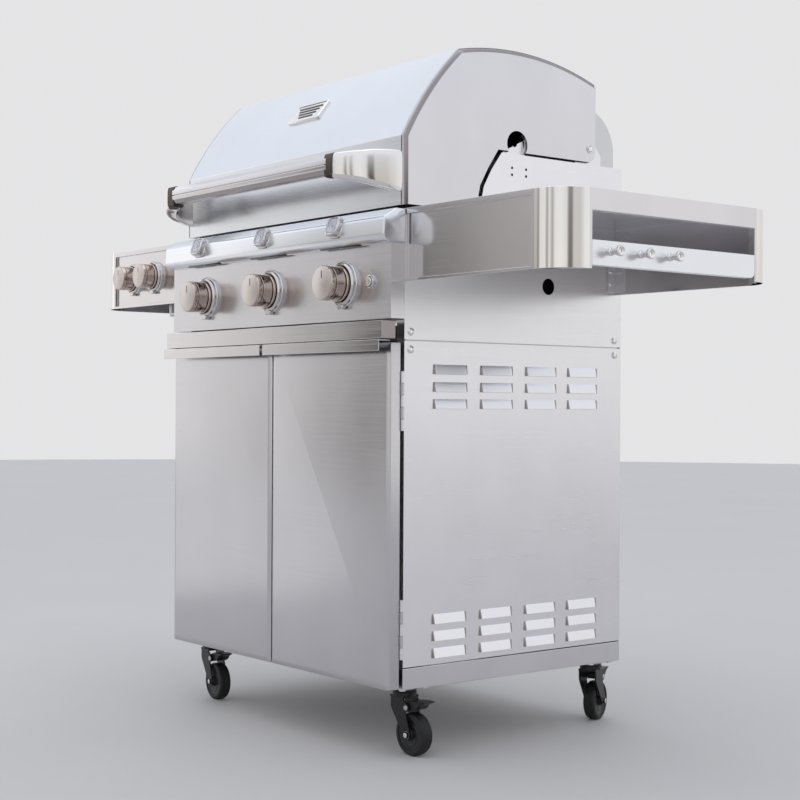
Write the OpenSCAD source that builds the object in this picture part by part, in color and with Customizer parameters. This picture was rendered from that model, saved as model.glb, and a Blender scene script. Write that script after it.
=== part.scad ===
// Gas barbecue grill on a closed cart: three main burners, a side burner on the left shelf,
// a tool shelf on the right, a slide-out drip tray, a hinged hood and four swivel casters.
// +X is to the right, +Y to the back and +Z up. Millimetres.

/* [Cart] */
// Width over the cart's side panels
cart_w = 744; // [700:1:800]
// Depth of the cart's side panels
cart_d = 537; // [500:1:600]
// Height of the cart's underside above the floor
base_z = 121; // [118:1:130]
// Height of the base rail
base_h = 37; // [30:1:45]
// Height of the seam between the lower and the upper side panels
seam_z = 730; // [720:1:735]
// Thickness of the folded sheet
sheet = 1.5; // [1.5:0.5:2.5]

/* [Doors] */
// Thickness of a door
door_t = 24; // [20:1:25]
// Gap between the doors and the cart
door_gap = 6; // [6:0.5:8]
// Height of a door's handle lip
lip_h = 20; // [14:1:24]
// Reach of the handle lip in front of the door
lip_out = 25; // [18:1:30]

/* [Hood] */
// Height of the hood's bottom edge
hood_z = 965; // [962:1:970]
// Height of the crease between the upright front and the curved front
crease_z = 1087; // [1080:1:1095]
// Depth of the crest behind the front edge
crest_y = 126; // [115:1:140]
// Height of the crest
crest_z = 1255; // [1240:1:1270]
// Depth of the hood at its rear edge
hood_d = 469; // [460:1:475]
// Height of the hood's rear top edge
hood_back_z = 1235; // [1225:1:1240]
// Depth of the hood's pivot
pivot_y = 453; // [450:1:455]
// Height of the hood's pivot
pivot_z = 1109; // [1105:1:1112]

/* [Controls] */
// Spacing of the three main knobs
knob_pitch = 235; // [225:1:240]
// Height of the main knobs
knob_z = 832; // [828:1:836]
// Radius of a main knob
knob_r = 31; // [26:0.5:32]
// Reach of a main knob in front of the panel
knob_out = 50; // [40:1:52]
// Height of the side burner's knobs
side_knob_z = 894; // [890:1:898]
// Size of a side burner knob against a main knob
side_knob_scale = 0.84; // [0.7:0.01:0.9]

/* [Shelves] */
// Reach of a shelf beside the cart
shelf_l = 391; // [350:1:400]
// Depth of a shelf
shelf_d = 521; // [500:1:530]
// Height of the shelf top
shelf_z = 958; // [956:1:960]
// Height of a shelf's apron
apron_h = 127; // [115:1:130]
// Radius of a shelf's outer corners
corner_r = 64; // [50:1:70]

/* [Casters] */
// Radius of a caster wheel
wheel_r = 37.5; // [36:0.5:38]
// Width of a caster wheel
wheel_w = 24; // [20:1:26]
// Offset of the axle behind the swivel axis
trail = 26; // [20:1:28]

/* [Hidden] */
$fn = 96;

eps = 0.5;                          // overrun of a cut past its face
half_w = cart_w / 2;
in_w = half_w - sheet;              // inner face of a side panel
base_top = base_z + base_h;

// doors
door_front = -door_gap - door_t;
door_top = seam_z - 5;
door_split = 1.5;                   // half of the gap between the doors
hinge_r = door_gap / 2;             // hinge knuckle
hinge_pin_r = hinge_r / 2;
run_fit = 0.05;                     // radial clearance of a running fit
hinge_x = half_w - 1;
hinge_h = 104;
hinge_low_z = 174;
hinge_high_z = 571;
knuckles = 5;

// control panel, drip tray and visor
panel_front = door_front;
panel_z0 = seam_z + 36;
panel_z1 = 897;
tray_front = panel_front - 18;
tray_z0 = seam_z + 1;
tray_h = 31;
tray_w = 640;
tray_d = 470;
ledge_z = tray_z0 - 0.2;            // top of the ledges that carry the tray
visor_w = cart_w + 8;
slot_l = 122;                       // light slot
knob_xs = [-knob_pitch, 0, knob_pitch];
knob_hole_r = 8;
button_x = 314;
gauge_tilt = 20;
gauge_s = 36;

// firebox
box_w = 704;
box_y0 = 40;
box_y1 = 505;
box_z0 = 800;
box_z1 = shelf_z;
burner_r = 19;
ear_x = 358;                        // inner face of the hood's hinge ears
ear_t = 3;
spit_y = 265;
spit_z = 1100;

// hood
front_arc_r = 617;
top_arc_r = 623;
hood_half = 369;
cap_t = 3;                          // thickness of a hood end cap
rim = 10;                           // width of the rim round an end cap
hood_pin_r = 5;
pin_head_r = 8;
handle_y = -83;
handle_z = 1037;
handle_half = 262;
handle_tube = 2;                    // wall of the handle bar
badge_w = 106;
badge_h = 54;
badge_tilt = 52;                    // lean of the badge's normal from upright
guard_c = [446, 1108];
guard_r = 82;
guard_y0 = 474;
guard_y1 = guard_c[0] + guard_r;
guard_z0 = 945;
guard_half = 354;

// shelves
shelf_x = half_w + shelf_l;
fascia_y = 5;                       // recess of a shelf's front plate behind its rim
fascia_in = fascia_y + sheet;
fascia_l = shelf_l - corner_r - 8;  // length of a front plate
fascia_z0 = shelf_z - apron_h + 5;
fascia_h = apron_h - 15;
apron_z = shelf_z - apron_h;
side_knob_xs = [-608, -517];
bowl = [300, 300, 54];              // side burner recess
bowl_x = -568;
bowl_y = 250;
hook_ys = [105, 174, 243];
hook_z = 860;
hook_out = 24;
rail_z0 = 837;                      // hook rail
rail_h = 40;
window_z1 = 923;                    // upper edge of the window over the hook rail

// casters: [x, y, heading in degrees from +X to +Y]
caster_fl = [-326, 41, -5];
caster_fr = [326, 41, 3];
caster_rl = [-329, 502, 100];
caster_rr = [329, 502, 114];
casters = [caster_fl, caster_fr, caster_rl, caster_rr];
plate_z = base_z - 3;
fork_top = 112.5;
arm_in = wheel_w / 2 + 3;
arm_t = 3;
stem_r = 6;
axle_r = 4;
pedal_pin = [23, 85];
pedal_pin_r = 2.5;
pedal_tip = [64, 97];
pedal_tip_r = 2;
pedal_half_w = arm_in - 1;

// the origin is under the middle of the whole grill
x_low = -shelf_x;
x_high = shelf_x + hook_out;
y_low = handle_y - 13;
// outline of half a wheel: [radius, offset from its middle]
wheel_outline = [[wheel_r - 4, wheel_w / 2], [wheel_r - 1, wheel_w / 2 - 2.5],
    [wheel_r, wheel_w / 2 - 6]];
// a rear caster's pedal is the rearmost point of the grill
function pedal_rear(c) = c[1] + (pedal_tip[0] + pedal_tip_r) * sin(c[2]) + pedal_half_w * abs(cos(c[2]));
y_high = max([for (c = casters) pedal_rear(c)]);
module place() { translate([-(x_low + x_high) / 2, -(y_low + y_high) / 2, 0]) children(); }

// ---------- helpers ----------
// a (y, z) outline drawn out along X, starting at x0
module along_x(x0, len) { translate([x0, 0, 0]) rotate([90, 0, 90]) linear_extrude(len) children(); }
// an (x, z) outline drawn out along Y, starting at y0
module along_y(y0, len) { translate([0, y0 + len, 0]) rotate([90, 0, 0]) linear_extrude(len) children(); }
module rod_x(p, r, len) { translate(p) rotate([0, 90, 0]) cylinder(r = r, h = len); }
module rod_y(p, r, len) { translate(p) rotate([-90, 0, 0]) cylinder(r = r, h = len); }
module both_sides() { children(); mirror([1, 0, 0]) children(); }
// two circles and the band between their outer tangents
module blend_band(a, ra, b, rb) {
    d = norm(b - a);
    dir = atan2(b[1] - a[1], b[0] - a[0]);
    f = acos((ra - rb) / d);
    translate(a) circle(ra);
    translate(b) circle(rb);
    polygon([a + ra * [cos(dir + f), sin(dir + f)], a + ra * [cos(dir - f), sin(dir - f)],
        b + rb * [cos(dir - f), sin(dir - f)], b + rb * [cos(dir + f), sin(dir + f)]]);
}
module round_rect(w, h, r) {
    square([w - 2 * r, h], center = true);
    square([w, h - 2 * r], center = true);
    for (sx = [-1, 1], sy = [-1, 1]) translate([sx * (w / 2 - r), sy * (h / 2 - r)]) circle(r);
}
// a tray of folded sheet, open at the top
module pan(size, t) {
    difference() {
        cube(size);
        translate([t, t, t]) cube([size[0] - 2 * t, size[1] - 2 * t, size[2]]);
    }
}

// ---------- cart ----------
module base_tray() {
    color("lightgray") translate([-half_w, 0, base_z]) pan([cart_w, cart_d, base_h], sheet);
}

louvre_ys = [64, 174, 284, 392];
louvre_zs = [171, 201, 231, 610, 640, 671];
louvre_l = 80;
louvre_h = 17;
louvre_out = 4;
// a pressed hood over a slot, open at its lower edge
module louvre_cut(y, z) {
    translate([in_w - eps, y + 3, z + 3]) cube([sheet + 2 * eps, louvre_l - 6, louvre_h - 8]);
}
module louvre_hood(y, z) {
    translate([0, y, 0]) difference() {
        along_y(0, louvre_l)
            polygon([[half_w - 1, z + louvre_h], [half_w, z + louvre_h], [half_w + louvre_out, z + 5],
                [half_w + louvre_out, z], [half_w - 1, z]]);
        along_y(2, louvre_l - 4)
            polygon([[half_w - 2, z + louvre_h - 4], [half_w, z + louvre_h - 5],
                [half_w + louvre_out - 1.2, z + 5], [half_w + louvre_out - 1.2, z - 1],
                [half_w - 2, z - 1]]);
    }
}
// alternate knuckles of one hinge: the fixed leaf takes the even ones, the door's leaf the odd ones
module hinge_knuckles(z, first) {
    step = hinge_h / knuckles;
    for (i = [first:2:knuckles - 1]) translate([hinge_x, -door_gap / 2, z + i * step + 0.15])
        difference() {
            cylinder(r = hinge_r, h = step - 0.3);
            translate([0, 0, -eps]) cylinder(r = hinge_pin_r + run_fit, h = step + 1);
        }
}
module hinge_tabs(z, first, y) {
    step = hinge_h / knuckles;
    for (i = [first:2:knuckles - 1]) translate([hinge_x - 6, y, z + i * step + 0.15])
        cube([6 - hinge_pin_r - 0.6, 1.2, step - 0.3]);
}
module fixed_leaf(z) {
    translate([hinge_x - 21, -1.2, z]) cube([15, 1.2, hinge_h]);
    hinge_tabs(z, 0, -1.2);
    hinge_knuckles(z, 0);
}
module side_panel_shape() {
    difference() {
        union() {
            translate([in_w, 0, base_top]) cube([sheet, cart_d, seam_z - base_top]);
            translate([in_w - 20, 0, base_top]) cube([20 + eps, sheet, seam_z - base_top]);
            translate([in_w - 20, cart_d - 2 * sheet, base_top])
                cube([20 + eps, sheet, seam_z - base_top]);
        }
        for (y = louvre_ys, z = louvre_zs) louvre_cut(y, z);
    }
    for (y = louvre_ys, z = louvre_zs) louvre_hood(y, z);
    for (z = [hinge_low_z, hinge_high_z]) fixed_leaf(z);
}
module side_panel_right() { color("gainsboro") side_panel_shape(); }
module side_panel_left() { color("gainsboro") mirror([1, 0, 0]) side_panel_shape(); }

module back_panel() {
    color("silver") difference() {
        translate([-in_w, cart_d - sheet, base_top]) cube([2 * in_w, sheet, 790 - base_top]);
        for (z = [200:24:296], x = [-230, 30]) translate([x, cart_d - 5, z]) cube([200, 10, 8]);
        for (z = [600:24:696], x = [-230, 30]) translate([x, cart_d - 5, z]) cube([200, 10, 8]);
    }
}

// ledges that the drip tray slides on, the rail over the doors and its two magnetic catches
module tray_frame() {
    color("dimgray") {
        both_sides() translate([300, 4, ledge_z - sheet]) cube([in_w - 300, cart_d - 12, sheet]);
        both_sides() translate([in_w - sheet, 4, ledge_z - 12]) cube([sheet, cart_d - 12, 12]);
        translate([-(in_w - 20), 0, 698]) cube([2 * (in_w - 20), 16, ledge_z - sheet - 698 - 4]);
        both_sides() translate([300, 4, 720]) cube([20, 10, 9]);
        both_sides() translate([10, -5.7, 700]) cube([24, 5.7, 12]);
    }
}

// ---------- upper body ----------
module firebox_side_shape(hole_y, hole_z, hole_r) {
    difference() {
        union() {
            along_x(in_w, sheet) polygon([[0, seam_z], [cart_d, seam_z], [cart_d, 1078], [224, 1078],
                [199, 1044], [181, 1012], [177, 994], [177, shelf_z], [0, shelf_z]]);
            translate([in_w - 20, 0, seam_z]) cube([20 + eps, sheet, panel_z0 - seam_z - 2]);
            // inner wall with the hinge ear
            along_x(ear_x, ear_t) polygon([[236, 940], [490, 940], [490, 1100], [470, 1122], [436, 1122],
                [420, 1076], [292, 1076], [284, 1112], [246, 1112], [236, 1080]]);
            translate([ear_x, 236, 940]) cube([in_w - ear_x + eps, 254, sheet]);
        }
        // slot for the spit rod, open upwards
        along_x(ear_x - eps, ear_t + 1) union() {
            translate([spit_y, spit_z]) circle(6.5);
            translate([spit_y - 6.5, spit_z]) square([13, 20]);
        }
        // four holes for a rotisserie motor's bracket
        for (dy = [-17.5, 17.5], dz = [-6.3, 6.3])
            rod_x([in_w - eps, 267 + dy, 1046 + dz], 2.6, sheet + 1);
        rod_x([in_w - eps, hole_y, hole_z], hole_r, sheet + 1);
    }
}
module firebox_side_right() { color("gainsboro") firebox_side_shape(342.6, 838.7, 15.3); }
module firebox_side_left() { color("gainsboro") mirror([1, 0, 0]) firebox_side_shape(20, 810, 15.3); }

module firebox() {
    color("slategray") difference() {
        union() {
            translate([-box_w / 2, box_y0, box_z0]) pan([box_w, box_y1 - box_y0, box_z1 - box_z0], sheet);
            // ledges for the emitter plates and the grates
            for (z = [866, 934], y = [box_y0 + sheet - eps, box_y1 - sheet - 8 + eps])
                translate([-box_w / 2 + 1, y, z]) cube([box_w - 2, 8, 2]);
            // rims that rest on the inner walls of the body
            both_sides() translate([box_w / 2 - eps, 236, 942]) cube([ear_x - box_w / 2 + eps, 254, 2]);
        }
        translate([-150, 150, box_z0 - eps]) cube([300, 200, sheet + 1]);
        for (x = knob_xs) rod_y([x, box_y0 - eps, knob_z], burner_r + 3, sheet + 1);
    }
}

module control_panel() {
    color("lightgray") difference() {
        translate([-half_w, panel_front, panel_z0]) cube([cart_w, -panel_front, panel_z1 - panel_z0]);
        translate([-in_w, panel_front + sheet, panel_z0 + sheet])
            cube([2 * in_w, -panel_front, panel_z1 - panel_z0 - 2 * sheet]);
        for (x = knob_xs) rod_y([x, panel_front - eps, knob_z], knob_hole_r, sheet + 1);
        rod_y([button_x, panel_front - eps, knob_z], 8.6, sheet + 1);
    }
}

// side outline of the rounded rail above the control panel; inset shrinks it
module visor_outline(inset = 0) {
    blend_band([-36, panel_z1 + 14.5], 14.5 - inset, [-38, 934], 11 - inset);
    blend_band([-38, 934], 11 - inset, [-20, 947], 10 - inset);
    translate([-36, panel_z1 + inset]) square([35 - inset, 34]);
    translate([-20, panel_z1 + inset]) square([19 - inset, 60 - 2 * inset]);
}
module at_gauge(x) { translate([x, -47, 931]) rotate([90 - gauge_tilt, 0, 0]) children(); }
module visor() {
    color("gainsboro") difference() {
        along_x(-visor_w / 2, visor_w) visor_outline();
        along_x(-visor_w / 2 + sheet, visor_w - 2 * sheet) visor_outline(sheet);
        for (x = knob_xs) {
            at_gauge(x) translate([0, 0, -6]) linear_extrude(30) round_rect(gauge_s + 0.4, gauge_s + 0.4, 10.2);
            translate([x - slot_l / 2, -46, panel_z1 - 6]) cube([slot_l, 9, 16]);
        }
    }
}
module gauges() {
    color("silver") for (x = knob_xs) at_gauge(x) {
        difference() {
            translate([0, 0, -4]) linear_extrude(17) round_rect(gauge_s, gauge_s, 10);
            translate([0, 0, 8]) linear_extrude(6) round_rect(gauge_s - 8, gauge_s - 8, 7);
        }
    }
}
module gauge_glasses() {
    color("lightblue") for (x = knob_xs) at_gauge(x) translate([0, 0, 10])
        linear_extrude(2) round_rect(gauge_s - 8.2, gauge_s - 8.2, 6.9);
}
module light_bars() {
    color("dimgray") for (x = knob_xs) translate([x - slot_l / 2, -46, panel_z1 + 1.5])
        cube([slot_l, 9, 5]);
}

// ---------- knobs ----------
// all outlines are (radius, reach in front of the panel)
module bezel_shape() {
    rotate([90, 0, 0]) rotate_extrude()
        polygon([[34, 0], [41, 0], [41, 3], [38.5, 6], [38.5, 9], [36, 11], [34, 11]]);
    translate([-8, -11, -44]) cube([16, 8, 9]);
}
module knob_bezels() {
    color("silver") {
        for (x = knob_xs) translate([x, panel_front, knob_z]) bezel_shape();
        for (x = side_knob_xs) translate([x, fascia_y, side_knob_z]) scale(side_knob_scale) bezel_shape();
        translate([button_x, panel_front, knob_z]) rotate([90, 0, 0]) difference() {
            cylinder(r = 12, h = 5);
            translate([0, 0, -eps]) cylinder(r = 9.5, h = 6);
        }
    }
}
module knob_shape(stem_back) {
    rotate([90, 0, 0]) rotate_extrude() polygon([[0, 5], [knob_r + 1.5, 5], [knob_r + 1.5, 17],
        [knob_r - 1, 17], [knob_r - 1, 19], [knob_r, 19], [knob_r, 38], [knob_r - 1.2, 38],
        [knob_r - 1.2, 39.5], [knob_r, 39.5], [knob_r, knob_out - 2], [knob_r - 2, knob_out],
        [0, knob_out]]);
    rod_y([0, -6, 0], 4, stem_back + 6);
}
module knob_at(x) { color("rosybrown") translate([x, panel_front, knob_z]) knob_shape(25); }
module side_knob_at(x) {
    color("rosybrown") translate([x, fascia_y, side_knob_z]) scale(side_knob_scale) knob_shape(25);
}
module light_button() {
    color("silver") translate([button_x, panel_front, knob_z]) rotate([90, 0, 0])
        translate([0, 0, -8]) cylinder(r = 8.5, h = 16);
}

// ---------- gas parts ----------
manifold_y = 4;
manifold_z = 804;
valve_h = 13;                       // half height of a valve body
side_valve_y = fascia_y + 30;
feed_y = manifold_y + 16;           // side burner feed pipe
feed_z = manifold_z + 6;
module manifold() {
    color("goldenrod") {
        difference() {
            rod_x([-in_w + 10, manifold_y, manifold_z], 9, 2 * in_w - 20);
            rod_x([-in_w, manifold_y, manifold_z], 6.5, 2 * in_w - 40);
        }
        for (x = knob_xs) translate([x, manifold_y, manifold_z]) difference() {
            cylinder(r = 7, h = 15);
            cylinder(r = 4, h = 16);
        }
        // inlet fitting at the right-hand end, pointing down
        translate([330, manifold_y, manifold_z - 24]) cylinder(r = 6, h = 24);
        // feed pipe to the side burner, through the left side panel
        rod_y([-335, manifold_y, feed_z], 5, feed_y - manifold_y);
        rod_x([-470, feed_y, feed_z], 5, 140);
        translate([-470, feed_y, feed_z]) cylinder(r = 5, h = side_knob_z - 28 - feed_z);
        rod_x([-612, feed_y, side_knob_z - 28], 5, 146);
        for (x = side_knob_xs) translate([x, feed_y, side_knob_z - 28]) cylinder(r = 5, h = 28 - valve_h);
    }
}
module valve_shape() {
    translate([-13, -16, -valve_h]) cube([26, 44, 2 * valve_h]);
    rod_y([0, 28, 0], 5, 4);
}
module gas_valves() {
    color("darkkhaki") {
        for (x = knob_xs) translate([x, manifold_y + 2, knob_z]) difference() {
            valve_shape();
            rod_y([0, -17, 0], 4.05, 12);
        }
        for (x = side_knob_xs) translate([x, side_valve_y, side_knob_z]) difference() {
            valve_shape();
            rod_y([0, -17, 0], 4.05, 12);
        }
    }
}
module burners() {
    color("silver") for (x = knob_xs) {
        difference() {
            rod_y([x, 39, knob_z], burner_r, 445);
            rod_y([x, 38, knob_z], burner_r - 1.5, 440);
            for (y = [110:22:462], s = [-1, 1])
                translate([x + s * 10 - 2, y, knob_z + 10]) cube([4, 4, 12]);
        }
        translate([x - 12, 484, knob_z - 10]) cube([24, box_y1 - sheet - 484, 20]);
        // igniter electrode beside the tube
        rod_y([x + burner_r + 6, box_y0 + sheet, knob_z + 8], 3, 30);
        rod_y([x + burner_r + 6, box_y0 + sheet + 30, knob_z + 8], 1, 14);
    }
}
module emitter_plates() {
    color("dimgray") for (x = knob_xs) difference() {
        translate([x - 112, box_y0 + sheet + 1, 868]) cube([224, box_y1 - box_y0 - 2 * sheet - 2, 2]);
        for (i = [-4:4], y = [80:100:380]) translate([x + i * 22 - 3, y, 860]) cube([6, 70, 20]);
    }
}
module cooking_grates() {
    color("gray") for (x = knob_xs) difference() {
        translate([x - 115, box_y0 + sheet + 1, 936]) cube([230, box_y1 - box_y0 - 2 * sheet - 2, 8]);
        for (i = [-6:6], y = [62, 282]) translate([x + i * 16.5 - 5.5, y, 930]) cube([11, 200, 20]);
    }
}
module warming_rack() {
    color("silver") {
        for (i = [0:6]) rod_x([-ear_x + 10, 366 + i * 15, 1062], 2.5, 2 * ear_x - 20);
        both_sides() translate([ear_x - 14, 360, 1058]) cube([6, 102, 8]);
        both_sides() for (y = [372, 450]) rod_x([ear_x - 8.5, y, 1062], 3, 8.5);
    }
}
// side outline of the rear guard: a quarter round over an upright sheet, hollowed by the bore radius
module guard_outline(bore) {
    difference() {
        union() {
            intersection() {
                translate(guard_c) circle(guard_r);
                translate([guard_y0, guard_c[1]]) square([100, 100]);
            }
            translate([guard_y0, guard_z0]) square([guard_y1 - guard_y0, guard_c[1] - guard_z0]);
        }
        if (bore > 0) {
            translate(guard_c) circle(bore);
            translate([guard_y0 - 1, guard_z0 - 1])
                square([guard_c[0] + bore - guard_y0 + 1, guard_c[1] - guard_z0 + 1]);
        }
    }
}
module rear_guard() {
    color("silver") {
        along_x(-guard_half, 2 * guard_half) guard_outline(guard_r - sheet);
        both_sides() along_x(guard_half, ear_x - guard_half) guard_outline(0);
    }
}

// ---------- shelves ----------
// plan of a shelf, from the cart's side to its rounded outer corners
module shelf_plan(inset = 0) {
    r = corner_r - inset;
    translate([half_w, inset]) square([shelf_l - corner_r, shelf_d - 2 * inset]);
    translate([half_w, corner_r]) square([shelf_l - inset, shelf_d - 2 * corner_r]);
    for (y = [corner_r, shelf_d - corner_r]) translate([shelf_x - corner_r, y]) circle(r);
}
module shelf_skin() {
    difference() {
        translate([0, 0, apron_z]) linear_extrude(apron_h) shelf_plan();
        translate([0, 0, apron_z - eps]) linear_extrude(apron_h - sheet + eps) shelf_plan(sheet);
        translate([half_w - eps, -eps, fascia_z0]) cube([fascia_l + eps, fascia_in, fascia_h]);
    }
    // front plate, set back in a frame of folded edges
    difference() {
        translate([half_w, sheet - eps, fascia_z0 - sheet])
            cube([fascia_l + sheet, fascia_in - sheet + eps, fascia_h + 2 * sheet]);
        translate([half_w - eps, -eps, fascia_z0]) cube([fascia_l + eps, fascia_y + eps, fascia_h]);
    }
}
module shelf_right() {
    color("lightgray") {
        difference() {
            shelf_skin();
            // towel and tool window in the end, with the hook rail's place below it
            translate([shelf_x - 10, corner_r, apron_z - eps])
                cube([20, shelf_d - 2 * corner_r, window_z1 - apron_z + eps]);
        }
        translate([shelf_x - 16, corner_r, window_z1]) cube([15, shelf_d - 2 * corner_r, sheet]);
    }
}
module hook_rail() {
    color("gainsboro") {
        translate([shelf_x - sheet, corner_r, rail_z0]) cube([sheet, shelf_d - 2 * corner_r, rail_h]);
        for (z = [rail_z0, rail_z0 + rail_h - sheet])
            translate([shelf_x - 14, corner_r, z]) cube([13, shelf_d - 2 * corner_r, sheet]);
    }
}
module tool_hooks() {
    color("silver") for (y = hook_ys) translate([shelf_x, y, hook_z]) rotate([0, 90, 0])
        rotate_extrude() polygon([[0, 0], [5.8, 0], [5.8, 3], [4.6, 4.5], [4.6, 9], [8.8, 20.5],
            [8.8, hook_out - 0.8], [8, hook_out], [0, hook_out]]);
}
// angle brackets that hold the shelves to the cart
module shelf_brackets() {
    color("gray") both_sides() for (y = [fascia_in, shelf_d - sheet - 22]) {
        translate([half_w, y, 836]) cube([3, 22, 84]);
        translate([half_w, y + (y < 100 ? 0 : 19), 836]) cube([30, 3, 84]);
    }
}
module shelf_left() {
    color("lightgray") mirror([1, 0, 0]) difference() {
        union() {
            shelf_skin();
            // side burner recess
            translate([-bowl_x - bowl[0] / 2, bowl_y - bowl[1] / 2, shelf_z - bowl[2]])
                cube([bowl[0], bowl[1], bowl[2] - 1]);
        }
        translate([-bowl_x - bowl[0] / 2 + sheet, bowl_y - bowl[1] / 2 + sheet, shelf_z - bowl[2] + sheet])
            cube([bowl[0] - 2 * sheet, bowl[1] - 2 * sheet, bowl[2]]);
        translate([-bowl_x, bowl_y, shelf_z - bowl[2] - eps]) cylinder(r = 20, h = 10);
        for (x = side_knob_xs)
            rod_y([-x, fascia_y - eps, side_knob_z], knob_hole_r * side_knob_scale, sheet + 1);
    }
}
module side_burner_head() {
    color("dimgray") {
        translate([bowl_x, bowl_y, shelf_z - bowl[2] + sheet]) rotate_extrude()
            polygon([[0, -18], [17, -18], [17, 0], [58, 0], [62, 6], [62, 18], [56, 22], [0, 22]]);
        // one gas tube from each valve to the burner's foot
        for (x = side_knob_xs) {
            rod_y([x, side_valve_y + 32, side_knob_z], 5, bowl_y - side_valve_y - 32);
            rod_x([min(x, bowl_x), bowl_y - 5, side_knob_z], 5, abs(x - bowl_x));
        }
    }
}
module side_burner_grate() {
    color("gray") translate([bowl_x, bowl_y, 0]) {
        for (i = [-3:3]) translate([-142, i * 40 - 4, 938]) cube([284, 8, 8]);
        for (x = [-142, -70, 62, 134]) translate([x, -124, 938]) cube([8, 248, 8]);
        for (x = [-142, 134], y = [-124, 116]) translate([x, y, shelf_z - bowl[2] + sheet])
            cube([8, 8, 938 - shelf_z + bowl[2] - sheet + 1]);
    }
}
// flush cover of the side burner, hinged along its rear edge
cover_gap = 2;
cover_y1 = bowl_y + bowl[1] / 2 - sheet - cover_gap;
module side_burner_cover() {
    color("gainsboro") translate([bowl_x, 0, 0]) {
        w = bowl[0] - 2 * sheet - 2 * cover_gap;
        translate([-w / 2, bowl_y - bowl[1] / 2 + sheet + cover_gap, shelf_z - 6])
            cube([w, cover_y1 - bowl_y + bowl[1] / 2 - sheet - cover_gap, 4]);
        rod_x([-w / 2, cover_y1 - 3, shelf_z - 4], 2.5, w);
    }
}

// ---------- fasteners ----------
module panel_screws() {
    color("silver") {
        both_sides() for (p = [[14, 744], [14, 713], [519, 743], [520, 715]])
            rod_x([half_w, p[0], p[1]], 7, 3);
        // hood pivots
        both_sides() {
            rod_x([ear_x + ear_t, pivot_y, pivot_z], hood_pin_r, hood_half + 4 - ear_x - ear_t);
            rod_x([hood_half + 1, pivot_y, pivot_z], pin_head_r, 3);
        }
        // caster plate bolts
        for (c = casters, sx = [-1, 1], sy = [-1, 1])
            translate([c[0] + sx * 25, c[1] + sy * 25, plate_z - 3]) cylinder(r = 5, h = 3);
    }
}

// ---------- casters ----------
module at_caster(c) { translate([c[0], c[1], 0]) rotate([0, 0, c[2]]) children(); }
module caster_plates() {
    color("silver") for (c = casters) translate([c[0], c[1], 0]) {
        translate([-32, -32, plate_z]) cube([64, 64, base_z - plate_z]);
        cylinder_between(fork_top + 0.5, plate_z, 18);
        cylinder_between(fork_top - 12, plate_z, stem_r);
    }
}
module cylinder_between(z0, z1, r) { translate([0, 0, z0]) cylinder(r = r, h = z1 - z0); }
module fork_shape() {
    axle = [trail, wheel_r];
    difference() {
        union() {
            cylinder_between(fork_top - 10, fork_top, 21);
            translate([-19, -arm_in - arm_t, fork_top - 13]) cube([36, 2 * (arm_in + arm_t), 4]);
            for (y = [-arm_in - arm_t, arm_in]) along_y(y, arm_t) difference() {
                union() {
                    blend_band([-1, fork_top - 25], 16, axle, 9);
                    blend_band([0, fork_top - 24], 15, pedal_pin, 7);
                    translate([-17, fork_top - 25]) square([32, 15]);
                }
                translate(axle) circle(axle_r + run_fit);
                translate(pedal_pin) circle(pedal_pin_r + run_fit);
            }
        }
        cylinder_between(fork_top - 20, fork_top + 1, stem_r + run_fit);
    }
    // axle bolt with its head and nut
    rod_y([axle[0], -arm_in - arm_t, axle[1]], axle_r, 2 * (arm_in + arm_t));
    for (y = [-arm_in - arm_t - 4, arm_in + arm_t]) rod_y([axle[0], y, axle[1]], 6.5, 4);
}
module wheel_shape() {
    h = wheel_w / 2;
    boss = arm_in - 0.5;
    translate([trail, 0, wheel_r]) rotate([90, 0, 0]) rotate_extrude()
        polygon(concat([[axle_r + run_fit, -boss], [10, -boss], [11, -h + 3], [27, -h + 3], [29, -h]],
            [for (p = wheel_outline) [p[0], -p[1]]],
            [for (i = [len(wheel_outline) - 1:-1:0]) wheel_outline[i]],
            [[29, h], [27, h - 3], [11, h - 3], [10, boss], [axle_r + run_fit, boss]]));
}
module pedal_shape() {
    along_y(-pedal_half_w, 2 * pedal_half_w) union() {
        blend_band(pedal_pin, 6, [44, 88], 4.5);
        blend_band([44, 88], 4.5, pedal_tip, pedal_tip_r);
    }
    rod_y([pedal_pin[0], -arm_in - arm_t, pedal_pin[1]], pedal_pin_r, 2 * (arm_in + arm_t));
}
module fork_at(c) { color("black") at_caster(c) fork_shape(); }
module wheel_at(c) { color("dimgray") at_caster(c) wheel_shape(); }
module pedal_at(c) { color("black") at_caster(c) pedal_shape(); }

// ---------- hood ----------
// centre of a circle of radius r through p and q, on the right of the way from p to q
function arc_centre(p, q, r) =
    let (d = norm(q - p), u = (q - p) / d) (p + q) / 2 + [u[1], -u[0]] * sqrt(r * r - d * d / 4);
front_c = arc_centre([0, crease_z], [crest_y, crest_z], front_arc_r);
top_c = arc_centre([crest_y, crest_z], [hood_d, hood_back_z], top_arc_r);
// side outline of the hood, shrunk by inset
module hood_outline(inset = 0) {
    intersection() {
        translate(front_c) circle(front_arc_r - inset, $fn = 360);
        translate(top_c) circle(top_arc_r - inset, $fn = 360);
        translate([inset, hood_z]) square([hood_d - 2 * inset, 400]);
    }
}
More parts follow.
